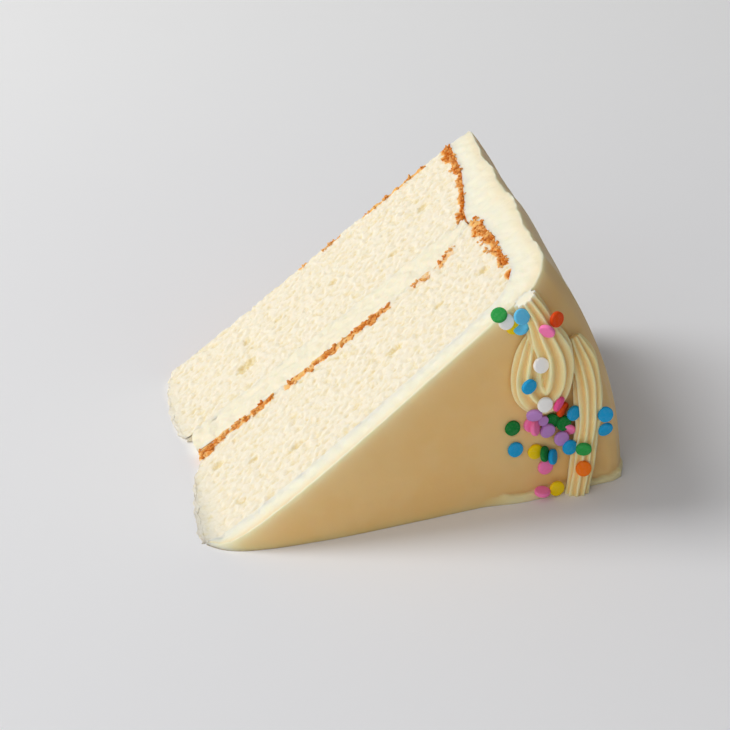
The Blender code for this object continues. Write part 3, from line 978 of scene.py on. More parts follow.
@dataclass(frozen=True)
class Crumbs:
    """Loose browned grains on the upper cut, along the crusts."""

    kinds: int = 6
    tries: int = 13000
    spill: float = 0.4
    tone: float = 0.4
    ray_reach: float = 4.0
    seed: int = 23

    def templates(self) -> list[tuple[np.ndarray, np.ndarray]]:
        """Model a few lumpy grains, about one unit wide, and return their points and faces.

        Returns:
            A list of points and faces, one pair for each kind of grain.
        """
        result = []
        for kind in range(self.kinds):
            deselect_everything()
            bpy.ops.mesh.primitive_ico_sphere_add(subdivisions=2, radius=0.5)
            grain = bpy.context.object
            points = read_points(grain)
            lumpy = rough(points * 2.0 + kind * 7.3, (1.0, 1.0, 1.0), 2)
            points = points * (1.0 + 0.8 * lumpy)[:, None] * np.array((1.3, 0.95, 0.75))
            faces = np.array([face.vertices[:] for face in grain.data.polygons])
            result.append((points, faces))
            bpy.data.objects.remove(grain, do_unlink=True)
        return result

    def brown_grains(self, layers: list[SpongeLayer], draw: np.random.Generator) -> list[Grain]:
        """Draw grains where the layers' crusts are brown, darkest where the crust is deepest.

        Args:
            layers: The sponge layers.
            draw: The source of random numbers.

        Returns:
            The grains to lay.
        """
        grains = []
        for layer in layers:
            radius = draw.uniform(0.0, 114.0, self.tries)
            lowest = layer.base_depth(radius) + (0.0 if layer.base_is_bare else self.spill)
            depth = mix(layer.top_depth(radius), lowest, draw.random(self.tries))
            inside = radius < layer.along(layer.side_line, depth) + 0.3
            brown = layer.browning(radius, depth)
            kept = inside & (draw.uniform(0.25, 1.6, self.tries) < brown)
            for spot in zip(radius[kept], depth[kept], brown[kept]):
                width = draw.triangular(0.35, 0.6, 1.5)
                tone = self.tone * spot[2] + draw.uniform(0.3, 0.8)
                grains.append(Grain(spot[0], spot[1], width, tone))
        return grains

    def lay(
        self, name: str, grains: list[Grain], tree: BVHTree, draw: np.random.Generator
    ) -> bpy.types.Object:
        """Lay grains on the cut and join them.

        Args:
            name: The new object's name.
            grains: The grains to lay.
            tree: Search tree of the cut's surface.
            draw: The source of random numbers.

        Returns:
            One mesh object of all the grains.
        """
        templates = self.templates()
        outward = Vector((-math.sin(FORM.angle), 0.0, math.cos(FORM.angle)))
        spots = np.array([(grain.radius, grain.depth) for grain in grains])
        places = FORM.place(spots[:, 0], spots[:, 1], np.ones(len(grains)))
        corners, faces, browns = [], [], []
        count = 0
        for index, grain in enumerate(grains):
            place = Vector(places[index])
            start = place + outward * self.ray_reach * MM
            hit = tree.ray_cast(start, -outward, 2.0 * self.ray_reach * MM)[0]
            seat = hit if hit is not None else place - outward * 0.4 * MM
            if (seat - place).dot(outward) < -1.5 * MM:
                seat = place - outward * 0.5 * MM
            points, sides = templates[index % self.kinds]
            spin = Matrix.Rotation(draw.uniform(0.0, 6.28), 3, Vector(draw.normal(size=3)).normalized())
            turned = points @ np.array(spin).T * grain.width * MM
            turned = turned + np.array(seat + outward * 0.05 * grain.width * MM)
            turned[:, 2] = np.maximum(turned[:, 2], 0.0)
            corners.append(turned)
            faces.append(sides + count)
            browns.append(np.full(len(points), grain.brown))
            count += len(points)
        mesh = bpy.data.meshes.new(name)
        mesh.from_pydata(np.vstack(corners).tolist(), [], np.vstack(faces).tolist())
        piece = bpy.data.objects.new(name, mesh)
        bpy.context.scene.collection.objects.link(piece)
        add_attribute(piece, "browning", np.concatenate(browns))
        add_attribute(piece, "pit_shade", np.zeros(count))
        return piece

    def build(self, layers: list[SpongeLayer], supports: list[bpy.types.Object]) -> None:
        """Lay the browned grains.

        Args:
            layers: The sponge layers whose crusts are browned.
            supports: The pieces that the grains lie on.
        """
        draw = np.random.default_rng(self.seed)
        tree = search_tree(supports)
        material = SpongeCrumb(name="baked_sponge_crumbs", scatter=0.0).build()
        crumbs = self.lay("browned_crumbs", self.brown_grains(layers, draw), tree, draw)
        finish_piece(crumbs, material)


@dataclass(frozen=True)
class Filling:
    """The buttercream between the sponges, squeezed out a little at the tip."""

    name: str = "filling_cream"
    steps: Steps = ((18, 12), (20,), (8, 4))
    upper_line: Line = ((0.0, 39.0), (91.0, 39.0), (103.2, 45.9))
    lower: float = 50.3
    tip: float = 3.0
    outer: float = 103.6
    drag_height: float = 0.5
    upper_sinking: float = 0.5

    def build(self, material: bpy.types.Material) -> bpy.types.Object:
        """Model the band of cream and dress it.

        Args:
            material: The buttercream.

        Returns:
            The finished piece.
        """
        piece = unit_block(self.name, self.steps)
        share = read_points(piece)
        across, down, turn = share.T
        squeeze = 0.5 * np.sin(5.0 * turn) + 1.4 * (2.0 * down - 1.0) ** 2
        radius = mix(self.tip + squeeze, self.outer, across)
        places, heights = zip(*self.upper_line)
        upper = np.interp(radius, places, heights)
        depth = mix(upper, self.lower, down)
        write_points(piece, FORM.place(radius, depth, turn))
        smooth_shape(piece, ((across < 0.02) & (turn > 0.5)) * 0.8, 4)
        cut = turn > 1.0 - 1e-6
        spots = np.column_stack((radius, depth, turn * 40.0))
        height = np.where(cut, self.drag_height * rough(spots, (3.2, 2.2, 6.0), 4), 0.0)
        height[cut] -= self.upper_sinking * (1.0 - smooth_step(0.0, 1.8, (depth - upper)[cut]))
        write_points(piece, read_points(piece) + read_normals(piece) * height[:, None] * MM)
        add_attribute(piece, "cut", np.ones(len(share)))
        add_attribute(piece, "groove_shade", np.zeros(len(share)))
        finish_piece(piece, material, 60.0)
        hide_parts("filling")
        return piece


@dataclass(frozen=True)
class Scoop:
    """One bite that the knife took out of the side's edge, between two depths."""

    start: float
    end: float
    deep: float


@dataclass(frozen=True)
class FrostingCoat:
    """The frosting over the top and the side, swept from cut to cut as one strip."""

    name: str = "frosting_cream"
    steps: Steps = ((16, 16), (12,), (11, 10))
    knots: tuple[float, ...] = (0.0, 0.53, 0.57, 0.76, 1.0)
    scoops: tuple[Scoop, ...] = (Scoop(17.0, 42.0, 1.1), Scoop(43.5, 63.0, 1.2), Scoop(64.5, 78.0, 0.6))
    scoop_fade: float = 6.0
    edge_round: float = 3.2
    # Reaches, in millimetres, of the painted glow on the skin beside the cut: first its paler band, then its
    # warm light.
    glow: float = 1.5
    painted_glow_reach: float = 3.2
    flange_height: float = 1.4
    # How far, in millimetres, the skin's deeper tint, partly painted shade, runs into the cut.
    skin_tint_reach: float = 2.2
    # Strength of the painted highlight on the torn lip along the floor.
    lip_painted_light: float = 0.7
    cut_drag: float = 0.35
    side_streak: float = 0.3
    streak: float = 0.1
    swell: float = 0.22
    edge_rounds: int = 14
    # Painted paleness on the torn lip, and the strength of the painted paler band beside the cut.
    lip_painted_paleness: float = 0.15
    cut_glow: float = 0.6

    def outer_sections(self, turn: float) -> list[list[tuple[float, float]]]:
        """Return the outer face's stretches at a turn, as (radius, depth) points.

        Args:
            turn: 0 at the lower cut to 1 at the upper cut.

        Returns:
            The top, the rim, the upper side and the lower side.
        """
        rim_start = mix(FORM.rim_start_lower, FORM.rim_start_upper, turn)
        rim_end = mix(FORM.rim_radius_lower, FORM.rim_radius_upper, turn)
        end_depth = mix(FORM.rim_end_lower, FORM.rim_end_upper, turn)
        start_depth = float(FORM.frosted_depth(np.array([rim_start]), turn)[0])
        middle = (
            0.5 * (rim_start + rim_end) + FORM.rim_bulge, 0.5 * (start_depth + end_depth) - FORM.rim_bulge
        )
        radii = np.linspace(FORM.tip_radius, rim_start - 1.5, 60)
        top = list(zip(radii, FORM.frosted_depth(radii, turn)))
        top.append((rim_start, start_depth))
        late = turn ** 0.5
        side = [(rim_end, end_depth), (mix(118.4, 116.3, late), 20.0), (mix(118.9, 117.5, late), 31.0)]
        side.append((118.9, 46.0))
        low = [(118.9, 46.0), (119.2, 60.0), (119.6, 76.0), (120.4, 84.0), (120.9, 88.0), (120.4, 89.9)]
        return [top, [top[-1], middle, side[0]], side, low]

    def inner_sections(self) -> list[list[tuple[float, float]]]:
        """Return the inner face's stretches, against the sponges and the filling.

        Returns:
            As many stretches as the outer face has.
        """
        radii = np.linspace(FORM.tip_radius, 97.0, 50)
        top = list(zip(radii, FORM.dome_depth(radii) + FORM.top_frosting))
        top.append((101.5, 7.6))
        corner = [(101.5, 7.6), (103.4, 9.4), (106.2, 13.6)]
        side = [(106.2, 13.6), (107.0, 30.0), (107.2, 44.0), (104.0, 47.9)]
        low = [(104.0, 47.9), (105.0, 54.0), (107.2, 59.0), (109.2, 66.0), (111.1, 72.0), (112.5, 82.0)]
        low.append((113.4, float(FORM.base_depth(113.4))))
        return [top, corner, side, low]

    def read_section(self, section: list[tuple[float, float]], shares: np.ndarray) -> np.ndarray:
        """Read a stretch at shares of its own length.

        Args:
            section: The stretch's (radius, depth) points.
            shares: Places along it, from 0 to 1.

        Returns:
            One (radius, depth) row for each share.
        """
        points = np.array(section)
        lengths = np.hypot(*np.diff(points, axis=0).T)
        travelled = np.concatenate(([0.0], np.cumsum(lengths)))
        wanted = shares * travelled[-1]
        return np.column_stack([np.interp(wanted, travelled, points[:, index]) for index in (0, 1)])

    def read_strip(self, sections: list[list[tuple[float, float]]], along: np.ndarray) -> np.ndarray:
        """Read a whole face of the strip at shares of the way along it.

        Args:
            sections: The face's stretches.
            along: Shares of the way along the strip.

        Returns:
            One (radius, depth) row for each share.
        """
        result = np.empty((len(along), 2))
        for index, section in enumerate(sections):
            first, last = self.knots[index], self.knots[index + 1]
            inside = (along >= first) & (along <= last)
            shares = (along[inside] - first) / (last - first)
            result[inside] = self.read_section(section, shares)
        return result

    def scoop_depth(self, depth: np.ndarray) -> np.ndarray:
        """Return how deep the knife bit into the side's edge at each depth.

        Args:
            depth: Depths below the rim of the cake's top.

        Returns:
            Millimetres for each depth.
        """
        bite = np.zeros(len(depth))
        for scoop in self.scoops:
            share = np.clip((depth - scoop.start) / (scoop.end - scoop.start), 0.0, 1.0)
            bite = bite + scoop.deep * np.sin(math.pi * share ** 0.7) ** 0.8 * (share > 0) * (share < 1)
        ragged = rough(np.column_stack((depth, 0.0 * depth, 0.0 * depth)), (5.0, 1.0, 1.0), 3)
        return np.maximum(bite * (1.0 + 0.7 * ragged) + 0.25 * ragged, 0.0)

    def build(self, material: bpy.types.Material) -> bpy.types.Object:
        """Model the coat, its rounded and scooped edges and its streaks, and dress it.

        Args:
            material: The buttercream.

        Returns:
            The finished piece.
        """
        piece = unit_block(self.name, self.steps)
        share = read_points(piece)
        along, across, sweep = share.T
        turn = 0.5 - 0.5 * np.cos(math.pi * mix(0.06, 0.94, sweep))
        turn = (turn - turn.min()) / (turn.max() - turn.min())
        radius = np.empty(len(share))
        depth = np.empty(len(share))
        inner_strip = self.inner_sections()
        for level in np.unique(turn.round(6)):
            same = np.abs(turn - level) < 1e-5
            outer = self.read_strip(self.outer_sections(float(level)), along[same])
            inner = self.read_strip(inner_strip, along[same])
            spot = mix(outer, inner, across[same][:, None])
            radius[same], depth[same] = spot.T
        from_cut = (1.0 - turn) * FORM.angle * np.maximum(radius, 2.0)
        from_floor = turn * FORM.angle * np.maximum(radius, 2.0)
        on_side = smooth_step(0.55, 0.58, along)
        bite = self.scoop_depth(depth) * np.clip(1.0 - from_cut / self.scoop_fade, 0.0, 1.0) ** 1.5
        radius = radius - bite * (1.0 - across) ** 2 * on_side
        write_points(piece, FORM.place(radius, depth, turn))
        upper_edge = 1.0 - smooth_step(0.5, self.edge_round, from_cut)
        outer_edge = 1.0 - smooth_step(0.0, 0.45, across)
        top_only = 1.0 - smooth_step(0.5, 0.6, along)
        smooth_shape(piece, upper_edge * outer_edge * mix(0.15, 1.0, top_only), self.edge_rounds)
        self.add_relief(piece, share, radius, depth, turn)
        skin = across < 1e-6
        cut = np.where(sweep > 1.0 - 1e-6, 1.0, 0.0)
        # Painted light: a narrow band of skin beside the cut is painted paler.
        glow = self.cut_glow * np.exp(-((from_cut / self.glow) ** 1.5))
        torn = self.torn_edge(radius, from_floor)
        lip = (1.0 - smooth_step(torn - 0.15, torn + 0.15, from_floor)) * smooth_step(72.0, 84.0, radius)
        # The skin's deeper tint, partly painted shade, runs into the cut and fades over its first
        # millimetres, most near the tip.
        from_skin = across * FORM.top_frosting / self.skin_tint_reach
        worn = mix(0.35, 0.6, 1.0 - smooth_step(15.0, 60.0, radius)) * np.exp(-(from_skin ** 2))
        # The cut colour: on the cut faces partly painted light; on the skin the painted glow beside the cut
        # and painted paleness on the torn lip.
        pale = np.maximum(cut - worn, np.where(skin, np.maximum(glow, self.lip_painted_paleness * lip), 1.0 - worn))
        add_attribute(piece, "cut", pale)
        # Painted light: a warm glow painted on the skin beside the cut, and a painted highlight on the torn
        # lip along the floor.
        edge_painted_light = np.maximum(np.exp(-from_cut / self.painted_glow_reach), self.lip_painted_light * lip)
        add_attribute(piece, "edge", np.where(skin, edge_painted_light, 0.0))
        add_attribute(piece, "groove_shade", np.zeros(len(share)))
        finish_piece(piece, material, 60.0)
        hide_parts("frosting_coat")
        return piece

    def torn_edge(self, radius: np.ndarray, around: np.ndarray) -> np.ndarray:
        """Return how high the torn lip along the floor reaches, in millimetres round the cake."""
        return 2.3 + 1.3 * rough(np.column_stack((radius, 0.3 * around, 0.0 * radius)), (7.0, 4.0, 1.0), 3)

    def add_relief(
        self, piece: bpy.types.Object, share: np.ndarray, radius: np.ndarray, depth: np.ndarray,
        turn: np.ndarray
    ) -> None:
        """Add the spatula's streaks to the skin and the knife's drag to the cuts.

        Args:
            piece: The coat.
            share: Places in the unit block.
            radius: Radii of the vertices.
            depth: Depths of the vertices.
            turn: Turns of the vertices.
        """
        along, across, sweep = share.T
        height = np.zeros(len(share))
        skin = across < 1e-6
        around = turn * FORM.angle * radius
        top = skin & (along < 0.55)
        side = skin & (along >= 0.55)
        spots = np.column_stack((radius, depth, around))
        height[top] = self.swell * rough(spots[top], (55.0, 30.0, 11.0), 3)
        height[top] += self.streak * rough(spots[top], (8.0, 60.0, 60.0), 2)
        height[side] = self.side_streak * rough(spots[side], (30.0, 7.0, 60.0), 3)
        cut = (sweep > 1.0 - 1e-6) & (across > 0.05) & (across < 0.98)
        height[cut] = self.cut_drag * rough(spots[cut], (3.0, 2.2, 3.0), 4) - 0.05
        torn = self.torn_edge(radius, around)
        flange = 1.0 - smooth_step(torn - 0.6, torn + 0.2, around)
        flange = flange * smooth_step(74.0, 86.0, radius) * (1.0 - smooth_step(30.0, 50.0, depth))
        height[top] += self.flange_height * flange[top]
        height[side] += 0.5 * self.flange_height * flange[side]
        points = read_points(piece) + read_normals(piece) * height[:, None] * MM
        points[:, 2] = np.maximum(points[:, 2], 0.0)
        write_points(piece, points)


@dataclass(frozen=True)
class Knot:
    """One knot of a shell's middle line, in millimetres."""

    across: float
    up: float
    lift: float
    radius: float


@dataclass(frozen=True)
class PipedBorder:
    """Two shells of a piped border, squeezed through a star nozzle and then cut."""

    name: str = "piped_cream"
    ridges: int = 10
    points_per_ridge: int = 12
    groove_depth: float = 0.27
    ridge_sharpness: float = 1.4
    flatness: float = 0.8
    step: float = 0.55
    voxel_mm: float = 0.24
    hook: tuple[Knot, ...] = (
        Knot(87.4, 51.0, 0.8, 1.9), Knot(86.5, 45.8, 1.4, 4.3), Knot(85.9, 40.4, 1.5, 5.5),
        Knot(86.7, 36.0, 1.8, 6.0), Knot(89.0, 34.0, 2.3, 6.7), Knot(91.0, 35.6, 2.7, 6.8),
        Knot(91.9, 39.3, 2.9, 6.6), Knot(91.7, 45.2, 3.1, 5.8), Knot(89.4, 51.3, 2.7, 4.8),
        Knot(87.4, 56.1, 2.0, 4.0), Knot(84.9, 60.3, 1.3, 3.5), Knot(81.6, 65.6, 0.8, 3.1),
    )
    tail: tuple[Knot, ...] = (
        Knot(101.0, -6.0, 2.4, 3.7), Knot(101.5, 2.0, 2.4, 3.7), Knot(102.6, 12.0, 2.4, 3.7),
        Knot(103.5, 22.0, 2.4, 3.8), Knot(103.1, 32.0, 2.3, 4.3), Knot(101.4, 40.0, 2.0, 4.2),
        Knot(99.6, 45.0, 1.6, 3.4), Knot(98.6, 47.6, 1.1, 2.4),
    )

    def surface_depth(self, radius: float, turn: float) -> float:
        """Return the depth of the frosting's top face or rim at a radius.

        Args:
            radius: Distance from the cake's axis.
            turn: 0 at the lower cut to 1 at the upper cut.

        Returns:
            The depth below the rim of the cake's top.
        """
        rim_start = mix(FORM.rim_start_lower, FORM.rim_start_upper, turn)
        rim_end = mix(FORM.rim_radius_lower, FORM.rim_radius_upper, turn)
        end_depth = mix(FORM.rim_end_lower, FORM.rim_end_upper, turn)
        start_depth = float(FORM.frosted_depth(np.array([min(radius, rim_start)]), turn)[0])
        if radius <= rim_start:
            return start_depth
        middle_radius = 0.5 * (rim_start + rim_end) + FORM.rim_bulge
        middle_depth = 0.5 * (start_depth + end_depth) - FORM.rim_bulge
        line = ((rim_start, start_depth), (middle_radius, middle_depth), (rim_end, end_depth))
        radii, depths = zip(*line)
        return float(np.interp(radius, radii, depths))

    def path(self, knots: tuple[Knot, ...]) -> list[tuple[Vector, float]]:
        """Return evenly stepped centres and radii of a shell's middle line.

        Args:
            knots: The shell's middle line.

        Returns:
            A centre in millimetres and a radius for each step.
        """
        rows = np.array([(knot.across, knot.up, knot.lift, knot.radius) for knot in knots])
        samples = []
        for index in range(len(rows) - 1):
            before, after = rows[max(index - 1, 0)], rows[min(index + 2, len(rows) - 1)]
            start, end = rows[index], rows[index + 1]
            count = max(2, round(math.dist(start[:2], end[:2]) / self.step))
            for part in range(count):
                share = part / count
                value = 2.0 * start + (end - before) * share
                value = value + (2.0 * before - 5.0 * start + 4.0 * end - after) * share ** 2
                value = value + (3.0 * start - before - 3.0 * end + after) * share ** 3
                samples.append(0.5 * value)
        samples.append(rows[-1])
        result = []
        for across, up, lift, radius in samples:
            reach = math.hypot(across, up)
            turn = min(max(math.atan2(up, across) / FORM.angle, 0.0), 1.0)
            result.append((Vector((across, self.surface_depth(reach, turn) - lift, up)), radius))
        return result

    def pipe(self, name: str, knots: tuple[Knot, ...]) -> bpy.types.Object:
        """Pipe one shell along its knots.

        Args:
            name: The new object's name.
            knots: The shell's middle line.

        Returns:
            The shell, closed at both ends, with an attribute for the painted shade between its ridges.
        """
        path = self.path(knots)
        sides = self.ridges * self.points_per_ridge
        deselect_everything()
        bpy.ops.mesh.primitive_cylinder_add(vertices=sides, radius=1.0, depth=1.0, location=(0.0, 0.0, 0.5))
        shell = bpy.context.object
        shell.name = name
        bpy.ops.object.transform_apply(location=True)
        bpy.ops.object.mode_set(mode="EDIT")
        bpy.ops.mesh.select_mode(type="EDGE")
        first = 12
        second = math.ceil((len(path) - 1) / first)
        for factor in (first, second):
            select_edges_along(shell, 2)
            bpy.ops.mesh.subdivide(number_cuts=factor - 1)
        bpy.ops.object.mode_set(mode="OBJECT")
        rows = first * second
        share = read_points(shell)
        centres = np.array([tuple(centre) for centre, radius in path])
        radii = np.array([radius for centre, radius in path])
        stations = np.linspace(0, len(path) - 1, rows + 1)
        centres = np.column_stack([np.interp(stations, range(len(path)), centres[:, k]) for k in range(3)])
        radii = np.interp(stations, range(len(path)), radii)
        ahead = np.gradient(centres, axis=0)
        ahead = ahead / np.linalg.norm(ahead, axis=1)[:, None]
        side = np.cross(ahead, np.array((0.0, -1.0, 0.0)))
        side = side / np.linalg.norm(side, axis=1)[:, None]
        face = np.cross(side, ahead)
        row = np.rint(share[:, 2] * rows).astype(int)
        angle = np.arctan2(share[:, 1], share[:, 0])
        crest = (0.5 + 0.5 * np.cos(self.ridges * angle)) ** self.ridge_sharpness
        swell = 1.0 + 0.05 * np.sin(row * 0.21 + 2.0 * angle)
        reach = radii[row] * (1.0 - self.groove_depth * (1.0 - crest)) * swell
        offset = side[row] * np.cos(angle)[:, None] + face[row] * (self.flatness * np.sin(angle))[:, None]
        corner = np.array(FORM.corner())
        write_points(shell, (centres[row] + offset * reach[:, None]) * MM + corner)
        # Painted shade between the ridges, none on the crests.
        add_attribute(shell, "groove_shade", 1.0 - crest)
        return shell

    def build(self, material: bpy.types.Material) -> bpy.types.Object:
        """Pipe both shells, join them, cut them with the slice and dress them.

        Args:
            material: The piped buttercream.

        Returns:
            The finished piece.
        """
        piece = self.pipe(self.name, self.hook)
        tail = self.pipe("tail_shell", self.tail)
        select_only(piece)
        tail.select_set(True)
        bpy.ops.object.join()
        piped = read_points(piece)
        # Carry the painted shade between the ridges through the fusing and the cutting.
        groove_shade_values = np.empty(len(piped))
        piece.data.attributes["groove_shade"].data.foreach_get("value", groove_shade_values)
        self.fuse(piece)
        self.cut_with_slice(piece)
        tree = KDTree(len(piped))
        for index, point in enumerate(piped):
            tree.insert(point, index)
        tree.balance()
        points = read_points(piece)
        nearest = [tree.find(point)[1] for point in points]
        add_attribute(piece, "groove_shade", groove_shade_values[nearest])
        # The piping's cut end takes the cut's paler colour, partly painted light, like the cut faces of the
        # coat.
        local = (points - np.array(FORM.corner())) / MM
        height_below_cut = local[:, 0] * math.sin(FORM.angle) - local[:, 2] * math.cos(FORM.angle)
        pale = np.exp(-((np.maximum(height_below_cut, 0.0) / 0.8) ** 1.5))
        add_attribute(piece, "cut", pale)
        finish_piece(piece, material, 65.0)
        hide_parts("piped_border")
        return piece

    def fuse(self, piece: bpy.types.Object) -> None:
        """Make one body of the shells, whose loops run into themselves, with applied modifiers.

        Args:
            piece: The joined shells.
        """
        remesh = piece.modifiers.new("fusing", "REMESH")
        remesh.mode = "VOXEL"
        remesh.voxel_size = self.voxel_mm * MM
        polish = piece.modifiers.new("polish", "SMOOTH")
        polish.factor = 0.5
        polish.iterations = 2
        select_only(piece)
        bpy.ops.object.modifier_apply(modifier=remesh.name)
        bpy.ops.object.modifier_apply(modifier=polish.name)

    def cut_with_slice(self, shell: bpy.types.Object) -> None:
        """Bisect a shell at the lower and the upper cut, and close it there.

        Args:
            shell: The piece to cut.
        """
        upper = Vector((-math.sin(FORM.angle), 0.0, math.cos(FORM.angle)))
        select_only(shell)
        bpy.ops.object.mode_set(mode="EDIT")
        for normal in (Vector((0.0, 0.0, -1.0)), upper):
            bpy.ops.mesh.select_all(action="SELECT")
            bpy.ops.mesh.bisect(
                plane_co=FORM.corner(), plane_no=normal, use_fill=True, clear_outer=True, threshold=1e-7
            )
        bpy.ops.object.mode_set(mode="OBJECT")


@dataclass(frozen=True)
class Sprinkle:
    """One sprinkle: its place on the frosting's front, its colour and how it lies.

    Its face is turned to the right by its lean and downward by its nod, in degrees.
    """

    across: float
    up: float
    colour: SugarColour
    lean: float = 7.0
    nod: float = -2.0
    lift: float = 0.0
    size: float = 1.0


@dataclass(frozen=True)
class Confetti:
    """Flat round sugar sprinkles, scattered over the border and joined by colour."""

    radius: float = 2.2
    thickness: float = 1.3
    sides: int = 28
    edge_round: float = 0.42
    sink: float = 0.35
    probe: float = 1.4
    ray_start: float = 50.0
    sprinkles: tuple[Sprinkle, ...] = (
        Sprinkle(77.7, 56.2, SugarColour.LEAF_GREEN, -34.0, -55.0, 1.0),
        Sprinkle(79.2, 55.1, SugarColour.WHITE, 7.0, -10.0, 0.4),
        Sprinkle(81.5, 53.3, SugarColour.YELLOW),
        Sprinkle(82.6, 55.8, SugarColour.SKY_BLUE, 5.0, -25.0, 1.5),
        Sprinkle(84.8, 50.9, SugarColour.SKY_BLUE, -50.0, -50.0, 0.8),
        Sprinkle(91.5, 55.5, SugarColour.RED_ORANGE, 23.0, -6.0),
        Sprinkle(89.6, 54.4, SugarColour.PINK, -38.0, 26.0, 0.4),
        Sprinkle(87.7, 43.6, SugarColour.WHITE, 5.0, -12.0),
        Sprinkle(84.1, 38.3, SugarColour.BLUE, 15.0, 5.0),
        Sprinkle(88.5, 32.7, SugarColour.WHITE),
        Sprinkle(91.7, 32.3, SugarColour.MAGENTA, 44.0, 16.0, 0.5),
        Sprinkle(95.2, 26.8, SugarColour.RED_ORANGE, 40.0, 14.0, 0.5),
        Sprinkle(98.3, 25.4, SugarColour.BLUE, 20.0, 0.0),
        Sprinkle(86.4, 29.1, SugarColour.LILAC, -10.0, 24.0, 0.3),
        Sprinkle(87.2, 23.1, SugarColour.PINK),
        Sprinkle(86.1, 22.2, SugarColour.PINK, 50.0, -12.0, 1.2),
        Sprinkle(90.3, 24.1, SugarColour.LILAC, 7.0, -2.0, 0.9, 0.7),
        Sprinkle(91.7, 21.0, SugarColour.LILAC, 7.0, 8.0, 0.8),
        Sprinkle(96.5, 22.1, SugarColour.GREEN, 7.0, -2.0, 1.0),
        Sprinkle(93.3, 23.1, SugarColour.GREEN, 7.0, -2.0, 0.2),
        Sprinkle(98.5, 20.4, SugarColour.PINK, -25.0, 30.0, 0.3),
        Sprinkle(95.8, 17.7, SugarColour.LILAC, 7.0, -2.0, 1.5),
        Sprinkle(98.0, 14.9, SugarColour.BLUE),
        Sprinkle(81.7, 23.1, SugarColour.GREEN),
        Sprinkle(82.7, 16.3, SugarColour.BLUE),
        Sprinkle(88.7, 14.4, SugarColour.YELLOW),
        Sprinkle(89.5, 13.4, SugarColour.GREEN, 51.0, -12.0, 0.9),
        Sprinkle(92.0, 12.0, SugarColour.BLUE, 51.0, -12.0, 0.9),
        Sprinkle(91.9, 8.9, SugarColour.PINK),
        Sprinkle(90.6, 0.7, SugarColour.PINK, 0.0, -86.0),
        Sprinkle(94.7, 2.4, SugarColour.YELLOW, 7.0, -2.0, 0.3),
        Sprinkle(101.6, 15.6, SugarColour.LEAF_GREEN, -15.0, 15.0),
        Sprinkle(101.7, 9.0, SugarColour.ORANGE, -4.0, -16.0),
        Sprinkle(107.9, 23.2, SugarColour.BLUE, -2.0, -15.0, 0.2),
        Sprinkle(107.4, 20.9, SugarColour.BLUE, 10.0, 17.0, 0.2),
    )

    def pattern(self) -> bpy.types.Object:
        """Model one sprinkle flat at the origin: a thin disc with rounded edges.

        Returns:
            The sprinkle that the others are copied from.
        """
        deselect_everything()
        bpy.ops.mesh.primitive_cylinder_add(
            vertices=self.sides, radius=self.radius * MM, depth=self.thickness * MM
        )
        disc = bpy.context.object
        bpy.ops.object.mode_set(mode="EDIT")
        bpy.ops.mesh.select_mode(type="EDGE")
        bpy.ops.mesh.select_all(action="DESELECT")
        builder = bmesh.from_edit_mesh(disc.data)
        for edge in builder.edges:
            edge.select_set(abs(edge.verts[0].co.z - edge.verts[1].co.z) < 1e-7)
        bmesh.update_edit_mesh(disc.data)
        bpy.ops.mesh.bevel(offset=self.edge_round * MM, offset_type="OFFSET", segments=3, profile=0.5)
        bpy.ops.object.mode_set(mode="OBJECT")
        return disc

    def resting_matrix(self, tree: BVHTree, sprinkle: Sprinkle) -> Matrix:
        """Return where a sprinkle pressed on from the front lies, on the highest point under it.

        Args:
            tree: Search tree of the frosting's pieces.
            sprinkle: The sprinkle to lay down.

        Returns:
            The sprinkle's place and direction in the frame.
        """
        corner = FORM.corner()
        reach = self.probe
        hits = []
        for step_across, step_up in ((0.0, 0.0), (reach, 0.0), (-reach, 0.0), (0.0, reach), (0.0, -reach)):
            spot = Vector((sprinkle.across + step_across, -self.ray_start, sprinkle.up + step_up))
            start = spot * MM + corner
            hit = tree.ray_cast(start, Vector((0.0, 1.0, 0.0)))[0]
            hits.append(hit if hit is not None else start + Vector((0.0, self.ray_start * MM, 0.0)))
        nodding = Matrix.Rotation(math.radians(sprinkle.nod), 3, "X")
        facing = Matrix.Rotation(math.radians(sprinkle.lean), 3, "Z") @ nodding @ Vector((0.0, -1.0, 0.0))
        middle = hits[0]
        highest = max(facing.dot(hit - middle) for hit in hits)
        height = highest + (0.5 * self.thickness - self.sink + sprinkle.lift) * MM
        centre = middle + facing * height
        scale = Matrix.Scale(sprinkle.size, 4)
        return Matrix.Translation(centre) @ facing.to_track_quat("Z", "Y").to_matrix().to_4x4() @ scale

    def build(self, supports: list[bpy.types.Object]) -> None:
        """Lay all the sprinkles on the frosting and join those of each colour.

        Args:
            supports: The frosting's pieces that the sprinkles lie on.
        """
        tree = search_tree(supports)
        disc = self.pattern()
        for colour in SugarColour:
            copies = []
            for sprinkle in self.sprinkles:
                if sprinkle.colour is colour:
                    copy = disc.copy()
                    copy.data = disc.data.copy()
                    copy.data.transform(self.resting_matrix(tree, sprinkle))
                    bpy.context.scene.collection.objects.link(copy)
                    copies.append(copy)
            select_only(copies[0])
            for copy in copies[1:]:
                copy.select_set(True)
            bpy.ops.object.join()
            piece = bpy.context.object
            piece.name = f"confetti_{colour.name.lower()}"
            finish_piece(piece, PressedSugar(colour).build(), 50.0)
        bpy.data.objects.remove(disc, do_unlink=True)


